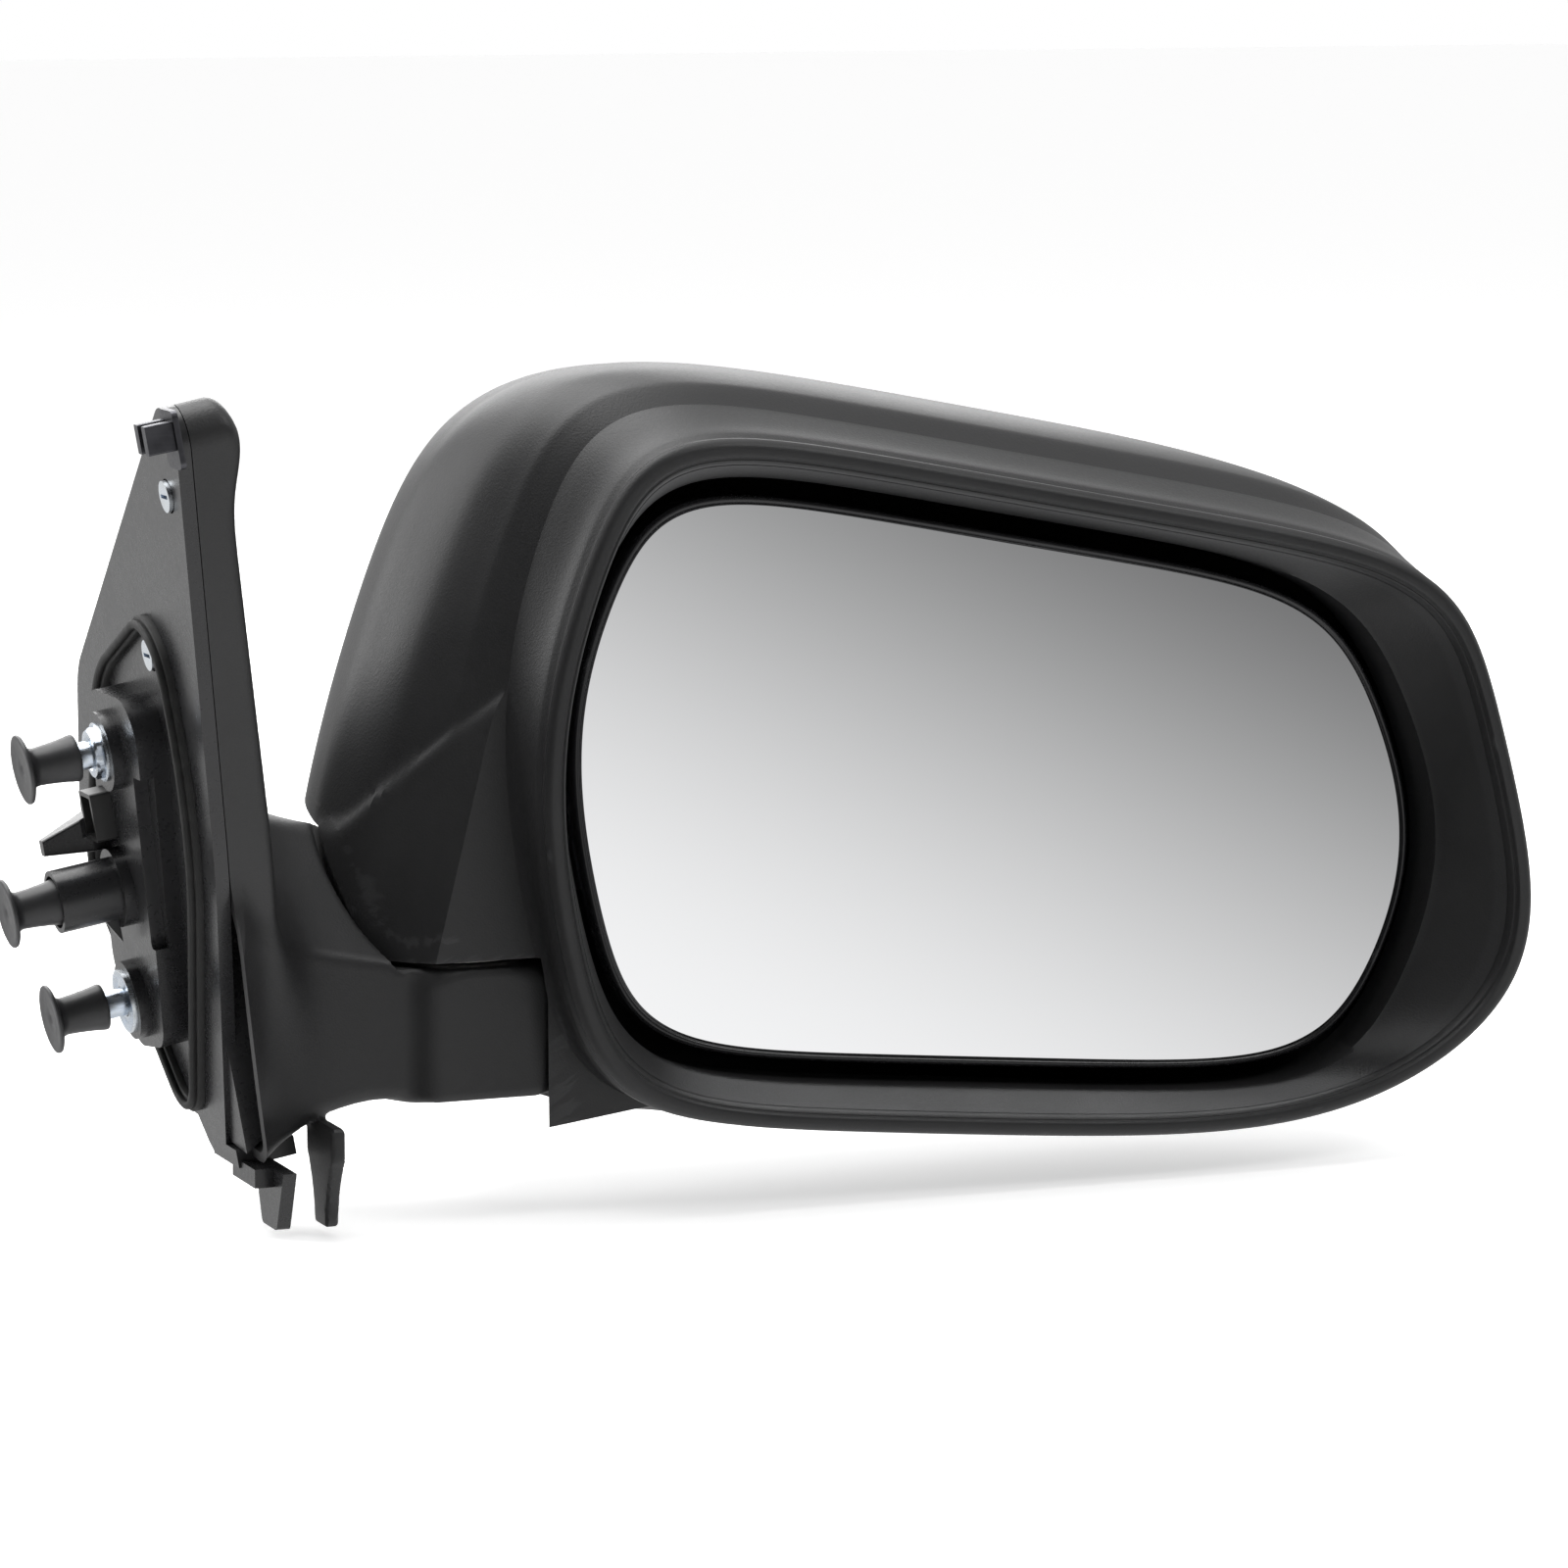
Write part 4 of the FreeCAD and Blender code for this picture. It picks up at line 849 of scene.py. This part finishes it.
# ------------------------------------------------------------------ materials
class Paint:
    """Short way to build a node material around one Principled shader."""

    def __init__(self, name):
        self.material = bpy.data.materials.new(name)
        self.material.use_nodes = True
        self.tree = self.material.node_tree
        self.shader = self.tree.nodes["Principled BSDF"]
        self.place = self.add("ShaderNodeTexCoord").outputs["Object"]

    def add(self, kind, **values):
        node = self.tree.nodes.new(kind)
        for key, value in values.items():
            if hasattr(node, key):
                setattr(node, key, value)
            else:
                node.inputs[key.replace("_", " ")].default_value = value
        return node

    def link(self, source, node, socket):
        self.tree.links.new(source, node.inputs[socket])

    def noise(self, size_mm, detail=3.0, roughness=0.55):
        node = self.add("ShaderNodeTexNoise", Scale=1.0 / (size_mm * MM), Detail=detail, Roughness=roughness)
        self.link(self.place, node, "Vector")
        return node.outputs["Fac"]

    def cells(self, size_mm, feature="F1"):
        node = self.add("ShaderNodeTexVoronoi", Scale=1.0 / (size_mm * MM))
        node.feature = feature
        self.link(self.place, node, "Vector")
        return node.outputs["Distance"]

    def ramp(self, value, low, high, out_low=0.0, out_high=1.0):
        node = self.add("ShaderNodeMapRange")
        self.link(value, node, "Value")
        for key, number in (("From Min", low), ("From Max", high), ("To Min", out_low), ("To Max", out_high)):
            node.inputs[key].default_value = number
        return node.outputs["Result"]

    def sums(self, operation, first, second):
        node = self.add("ShaderNodeMath", operation=operation)
        for i, value in enumerate((first, second)):
            if isinstance(value, (int, float)):
                node.inputs[i].default_value = value
            else:
                self.tree.links.new(value, node.inputs[i])
        return node.outputs["Value"]

    def mix(self, share, first, second):
        node = self.add("ShaderNodeMix", data_type="RGBA")
        self.tree.links.new(share, node.inputs[0])
        for socket, value in ((6, first), (7, second)):
            if isinstance(value, tuple):
                node.inputs[socket].default_value = value + (1.0,)
            else:
                self.tree.links.new(value, node.inputs[socket])
        return node.outputs[2]

    def worn_edges(self, low=0.53, high=0.60):
        node = self.add("ShaderNodeNewGeometry")
        return self.ramp(node.outputs["Pointiness"], low, high)

    def bump(self, height, depth_mm, before=None):
        node = self.add("ShaderNodeBump", Strength=1.0, Distance=depth_mm * MM)
        self.link(height, node, "Height")
        if before is not None:
            self.link(before, node, "Normal")
        return node.outputs["Normal"]

    def set(self, **values):
        for key, value in values.items():
            socket = key.replace("_", " ")
            if isinstance(value, (int, float)):
                self.shader.inputs[socket].default_value = value
            elif isinstance(value, tuple):
                self.shader.inputs[socket].default_value = value + (1.0,)
            else:
                self.link(value, self.shader, socket)
        return self.material


def textured_plastic():
    """Fine spark-eroded grain on charcoal black, a little polished on the edges."""
    p = Paint("textured_plastic")
    pebble = p.sums("MULTIPLY", p.cells(0.42, "SMOOTH_F1"), 0.8)
    grain = p.sums("ADD", pebble, p.sums("MULTIPLY", p.noise(0.9), 0.5))
    cloud = p.noise(38.0, 4.0)
    colour = p.mix(p.ramp(cloud, 0.3, 0.7), (0.0125, 0.0125, 0.0132), (0.0185, 0.0185, 0.0192))
    colour = p.mix(p.sums("MULTIPLY", p.worn_edges(), 0.35), colour, (0.045, 0.045, 0.047))
    rough = p.sums("ADD", p.ramp(cloud, 0.3, 0.7, 0.44, 0.50), p.ramp(p.noise(0.6), 0.3, 0.7, -0.03, 0.03))
    return p.set(Base_Color=colour, Roughness=rough, Normal=p.bump(grain, 0.035), Specular_IOR_Level=0.5)


def smooth_plastic(name, dark, light, rough_low, rough_high, swirl_mm=26.0, marks=1.0):
    """Moulded surface with flow marks and polished edges; marks sets how strong both are."""
    p = Paint(name)
    flow = p.noise(swirl_mm, 5.0, 0.6)
    fine = p.noise(1.4, 3.0)
    colour = p.mix(p.ramp(flow, 0.32, 0.68), dark, light)
    bright = tuple(min(1.0, c * 1.8 + 0.015) for c in light)
    colour = p.mix(p.sums("MULTIPLY", p.worn_edges(), 0.4 * marks), colour, bright)
    rough = p.sums("ADD", p.ramp(flow, 0.3, 0.7, rough_low, rough_high), p.ramp(fine, 0.3, 0.7, -0.03, 0.03))
    relief = p.bump(fine, 0.008 * marks, p.bump(flow, 0.05 * marks))
    return p.set(Base_Color=colour, Roughness=rough, Normal=relief)


def rubber(name, tone):
    """Matt rubber with lighter patches of talc bloom."""
    p = Paint(name)
    bloom = p.noise(3.0, 4.0)
    colour = p.mix(p.ramp(bloom, 0.35, 0.75), (tone, tone, tone), (tone * 2.4, tone * 2.4, tone * 2.3))
    rough = p.ramp(bloom, 0.3, 0.7, 0.55, 0.75)
    return p.set(Base_Color=colour, Roughness=rough, Normal=p.bump(p.noise(0.5), 0.02))


def metal(name, dark, light, rough, brush_mm=0.5, spangle=0.0):
    """Worked metal: fine brush lines, grey patches and brighter edges."""
    p = Paint(name)
    stretch = p.add("ShaderNodeMapping")
    stretch.inputs["Scale"].default_value = (0.08, 1.0, 1.0)
    p.link(p.place, stretch, "Vector")
    brush = p.add("ShaderNodeTexNoise", Scale=1.0 / (brush_mm * MM), Detail=2.0)
    p.link(stretch.outputs["Vector"], brush, "Vector")
    lines = brush.outputs["Fac"]
    patch = p.noise(6.0, 4.0)
    colour = p.mix(p.ramp(patch, 0.3, 0.7), dark, light)
    if spangle:
        flakes = p.sums("MULTIPLY", p.ramp(p.cells(1.6), 0.1, 0.8), spangle)
        colour = p.mix(flakes, colour, (0.62, 0.74, 0.95))
    colour = p.mix(p.sums("MULTIPLY", p.worn_edges(), 0.5), colour, tuple(min(1.0, c * 1.25) for c in light))
    streaks = p.ramp(lines, 0.3, 0.7, rough - 0.05, rough + 0.08)
    roughness = p.sums("ADD", streaks, p.ramp(patch, 0.3, 0.7, 0, 0.08))
    return p.set(Base_Color=colour, Metallic=1.0, Roughness=roughness, Normal=p.bump(lines, 0.006))


def cast_alloy():
    """Die-cast metal, matt and slightly pitted."""
    p = Paint("cast_alloy")
    pits = p.noise(0.8, 4.0)
    colour = p.mix(p.ramp(p.noise(14.0, 4.0), 0.3, 0.7), (0.42, 0.43, 0.44), (0.56, 0.57, 0.58))
    return p.set(Base_Color=colour, Metallic=0.9, Roughness=p.ramp(pits, 0.3, 0.7, 0.48, 0.62),
                 Normal=p.bump(pits, 0.05))


def wire_sleeve():
    """Woven cable sleeve: two crossing sets of strands."""
    p = Paint("wire_sleeve")
    waves = []
    for tilt in (1.0, -1.0):
        turn = p.add("ShaderNodeMapping")
        turn.inputs["Rotation"].default_value = (0.6 * tilt, 0.5, 0.7 * tilt)
        p.link(p.place, turn, "Vector")
        wave = p.add("ShaderNodeTexWave", Scale=380.0, Distortion=0.6)
        p.link(turn.outputs["Vector"], wave, "Vector")
        waves.append(wave.outputs["Fac"])
    weave = p.sums("MAXIMUM", *waves)
    colour = p.mix(p.ramp(weave, 0.3, 1.0), (0.006, 0.006, 0.006), (0.03, 0.03, 0.032))
    return p.set(Base_Color=colour, Roughness=0.6, Normal=p.bump(weave, 0.15))


def mirror_silver():
    """Second-surface silvering: nearly perfect, with the faintest haze and dust."""
    p = Paint("mirror_silver")
    dust = p.ramp(p.noise(0.35, 2.0), 0.72, 0.80)
    haze = p.noise(55.0, 3.0)
    colour = p.mix(dust, (0.90, 0.905, 0.915), (0.80, 0.81, 0.82))
    rough = p.sums("ADD", p.ramp(haze, 0.3, 0.7, 0.012, 0.03), p.sums("MULTIPLY", dust, 0.12))
    return p.set(Base_Color=colour, Metallic=1.0, Roughness=rough, Coat_Weight=0.6, Coat_Roughness=0.01)


def pad_foam():
    p = Paint("pad_foam")
    holes = p.cells(0.7)
    colour = p.mix(p.ramp(holes, 0.0, 0.6), (0.02, 0.02, 0.02), (0.10, 0.10, 0.10))
    return p.set(Base_Color=colour, Roughness=0.9, Normal=p.bump(holes, 0.25))


def grey(tone, blue=0.0):
    return tone, tone, tone + blue


MATERIALS = {
    "textured_plastic": textured_plastic(),
    "bracket_plastic": smooth_plastic("bracket_plastic", grey(0.013, 0.001), grey(0.017, 0.001), 0.26, 0.31,
                                      marks=0.1),
    "gasket_rubber": rubber("gasket_rubber", 0.008),
    "zinc_steel": metal("zinc_steel", (0.52, 0.57, 0.62), (0.78, 0.83, 0.88), 0.22, spangle=0.35),
    "cap_plastic": smooth_plastic("cap_plastic", grey(0.020, 0.001), grey(0.032, 0.002), 0.36, 0.46, 9.0),
    "connector_plastic": smooth_plastic("connector_plastic", grey(0.006), grey(0.012), 0.3, 0.4),
    "pin_brass": metal("pin_brass", (0.62, 0.50, 0.30), (0.85, 0.78, 0.60), 0.2),
    "wire_sleeve": wire_sleeve(),
    "clip_steel": metal("clip_steel", (0.05, 0.05, 0.055), (0.10, 0.10, 0.11), 0.35),
    "post_steel": metal("post_steel", (0.42, 0.43, 0.45), (0.60, 0.61, 0.63), 0.24, 0.3),
    "glide_nylon": smooth_plastic("glide_nylon", (0.66, 0.63, 0.55), (0.78, 0.75, 0.68), 0.34, 0.42),
    "cast_alloy": cast_alloy(),
    "bush_bronze": metal("bush_bronze", (0.42, 0.27, 0.13), (0.62, 0.43, 0.22), 0.35),
    "case_plastic": smooth_plastic("case_plastic", (0.022, 0.022, 0.024), (0.036, 0.036, 0.038), 0.42, 0.52),
    "motor_steel": metal("motor_steel", (0.55, 0.56, 0.57), (0.72, 0.73, 0.74), 0.2, spangle=0.15),
    "gear_nylon": smooth_plastic("gear_nylon", (0.74, 0.73, 0.67), (0.84, 0.83, 0.78), 0.3, 0.4),
    "mirror_silver": mirror_silver(),
    "pad_foam": pad_foam(),
    "carrier_plastic": smooth_plastic("carrier_plastic", grey(0.006, 0.001), grey(0.012, 0.001), 0.2, 0.28),
}


def dress():
    """Give every piece the material of its slot; CAD nodes take theirs from the record."""
    slots = {row["node"]: row["material_slot"] for row in frame["record"]["subparts"]}
    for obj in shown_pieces():
        name = obj.get("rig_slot") or slots[obj["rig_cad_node"]]
        obj.data.materials.clear()
        obj.data.materials.append(MATERIALS[name])


# ------------------------------------------------------------------ studio
def floor():
    """Pale floor just under the lowest tail. The mirror sees the graded surroundings instead of it."""
    size, level = 9000.0, CAD_BOX[0][2] / MM - 2.0
    corners = [(-size, -size, level), (size, -size, level), (size, size, level), (-size, size, level)]
    obj = make_object("floor", corners, [(0, 1, 2, 3)])
    p = Paint("floor_paper")
    fibre = p.noise(1.2)
    paper = p.mix(fibre, (0.86, 0.86, 0.86), (0.90, 0.90, 0.90))
    obj.data.materials.append(p.set(Base_Color=paper, Roughness=0.8, Normal=p.bump(fibre, 0.02),
                                    Emission_Color=(1.0, 1.0, 1.0), Emission_Strength=0.52))
    obj.visible_glossy = False


def area_light(name, place, aim, size, power, colour=(1.0, 1.0, 1.0)):
    light = bpy.data.lights.new(name, "AREA")
    light.shape = "RECTANGLE"
    light.size, light.size_y = size
    light.energy = power
    light.color = colour
    obj = bpy.data.objects.new(name, light)
    bpy.context.scene.collection.objects.link(obj)
    obj.location = Vector(place)
    obj.rotation_euler = (Vector(aim) - Vector(place)).to_track_quat("-Z", "Y").to_euler()


def world():
    """White to the camera; reflected walls grade from white up to grey, with a black flag at the left."""
    scene_world = bpy.data.worlds.new("studio")
    scene_world.use_nodes = True
    tree = scene_world.node_tree
    tree.nodes.clear()
    place = tree.nodes.new("ShaderNodeTexCoord")
    slope = tree.nodes.new("ShaderNodeVectorMath")
    slope.operation = "DOT_PRODUCT"
    slope.inputs[1].default_value = (1.0, 0.0, 2.0)
    tree.links.new(place.outputs["Generated"], slope.inputs[0])
    grade = tree.nodes.new("ShaderNodeMapRange")
    grade.interpolation_type = "SMOOTHSTEP"
    for socket, value in (("From Min", -0.28), ("From Max", 0.56), ("To Min", 1.0), ("To Max", 0.12)):
        grade.inputs[socket].default_value = value
    tree.links.new(slope.outputs["Value"], grade.inputs["Value"])
    split = tree.nodes.new("ShaderNodeSeparateXYZ")
    tree.links.new(place.outputs["Generated"], split.inputs["Vector"])
    behind = tree.nodes.new("ShaderNodeMapRange")
    for socket, value in (("From Min", -0.45), ("From Max", 0.0)):
        behind.inputs[socket].default_value = value
    tree.links.new(split.outputs["Y"], behind.inputs["Value"])
    around = tree.nodes.new("ShaderNodeMix")
    tree.links.new(behind.outputs["Result"], around.inputs[0])
    tree.links.new(grade.outputs["Result"], around.inputs[2])
    around.inputs[3].default_value = 0.75
    aim = tree.nodes.new("ShaderNodeVectorMath")
    aim.operation = "DOT_PRODUCT"
    aim.inputs[1].default_value = Vector((-0.85, -0.52, -0.05)).normalized()
    tree.links.new(place.outputs["Generated"], aim.inputs[0])
    flag = tree.nodes.new("ShaderNodeMapRange")
    flag.interpolation_type = "SMOOTHSTEP"
    for socket, value in (("From Min", 0.35), ("From Max", 0.85), ("To Min", 1.0), ("To Max", 0.03)):
        flag.inputs[socket].default_value = value
    tree.links.new(aim.outputs["Value"], flag.inputs["Value"])
    shaded = tree.nodes.new("ShaderNodeMath")
    shaded.operation = "MULTIPLY"
    tree.links.new(around.outputs[0], shaded.inputs[0])
    tree.links.new(flag.outputs["Result"], shaded.inputs[1])
    path = tree.nodes.new("ShaderNodeLightPath")
    pick = tree.nodes.new("ShaderNodeMix")
    tree.links.new(path.outputs["Is Camera Ray"], pick.inputs[0])
    tree.links.new(shaded.outputs["Value"], pick.inputs[2])
    pick.inputs[3].default_value = 1.0
    light = tree.nodes.new("ShaderNodeBackground")
    tree.links.new(pick.outputs[0], light.inputs["Color"])
    out = tree.nodes.new("ShaderNodeOutputWorld")
    tree.links.new(light.outputs["Background"], out.inputs["Surface"])
    bpy.context.scene.world = scene_world


def camera():
    """Camera a little to the inboard side and above, level, looking outboard across the glass."""
    azimuth, elevation, away = math.radians(-22.0), math.radians(8.0), 1.4
    right = Vector((math.cos(azimuth), math.sin(azimuth), 0))
    back = Vector((math.sin(azimuth) * math.cos(elevation), -math.cos(azimuth) * math.cos(elevation),
                   math.sin(elevation)))
    up = back.cross(right)
    glass = (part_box("mirror_glass")[0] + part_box("mirror_glass")[1]) / 2
    data = bpy.data.cameras.new("camera")
    data.sensor_fit = "HORIZONTAL"
    data.angle = math.radians(14.01)
    obj = bpy.data.objects.new("camera", data)
    bpy.context.scene.collection.objects.link(obj)
    frame_matrix = Matrix((right, up, back)).transposed().to_4x4()
    frame_matrix.translation = glass + back * away - right * 0.0480 + up * 0.0004
    obj.matrix_world = frame_matrix
    bpy.context.scene.camera = obj


def studio():
    bpy.context.scene.view_settings.view_transform = "Standard"
    floor()
    world()
    area_light("top_softbox", (-0.15, 0.25, 1.1), (0.12, 0, 0), (1.2, 1.0), 16.0)
    area_light("left_softbox", (-1.1, 0.9, 0.5), (0.1, 0, 0.05), (0.8, 0.9), 9.0)
    area_light("back_softbox", (0.4, 1.3, 0.7), (0.15, 0, 0.05), (1.2, 0.6), 9.0)
    area_light("front_softbox", (1.1, -1.1, 1.5), (0.15, 0, 0.0), (0.9, 0.6), 9.0)
    camera()


# ------------------------------------------------------------------ build
def build():
    head_shell()
    base_cover()
    door_gasket()
    mounting_studs()
    stud_collars()
    for which, y, up, length in STUDS:
        stud_cap(which, y, up, length)
    mirror_glass()
    glass_carrier()
    dress()
    studio()


build()
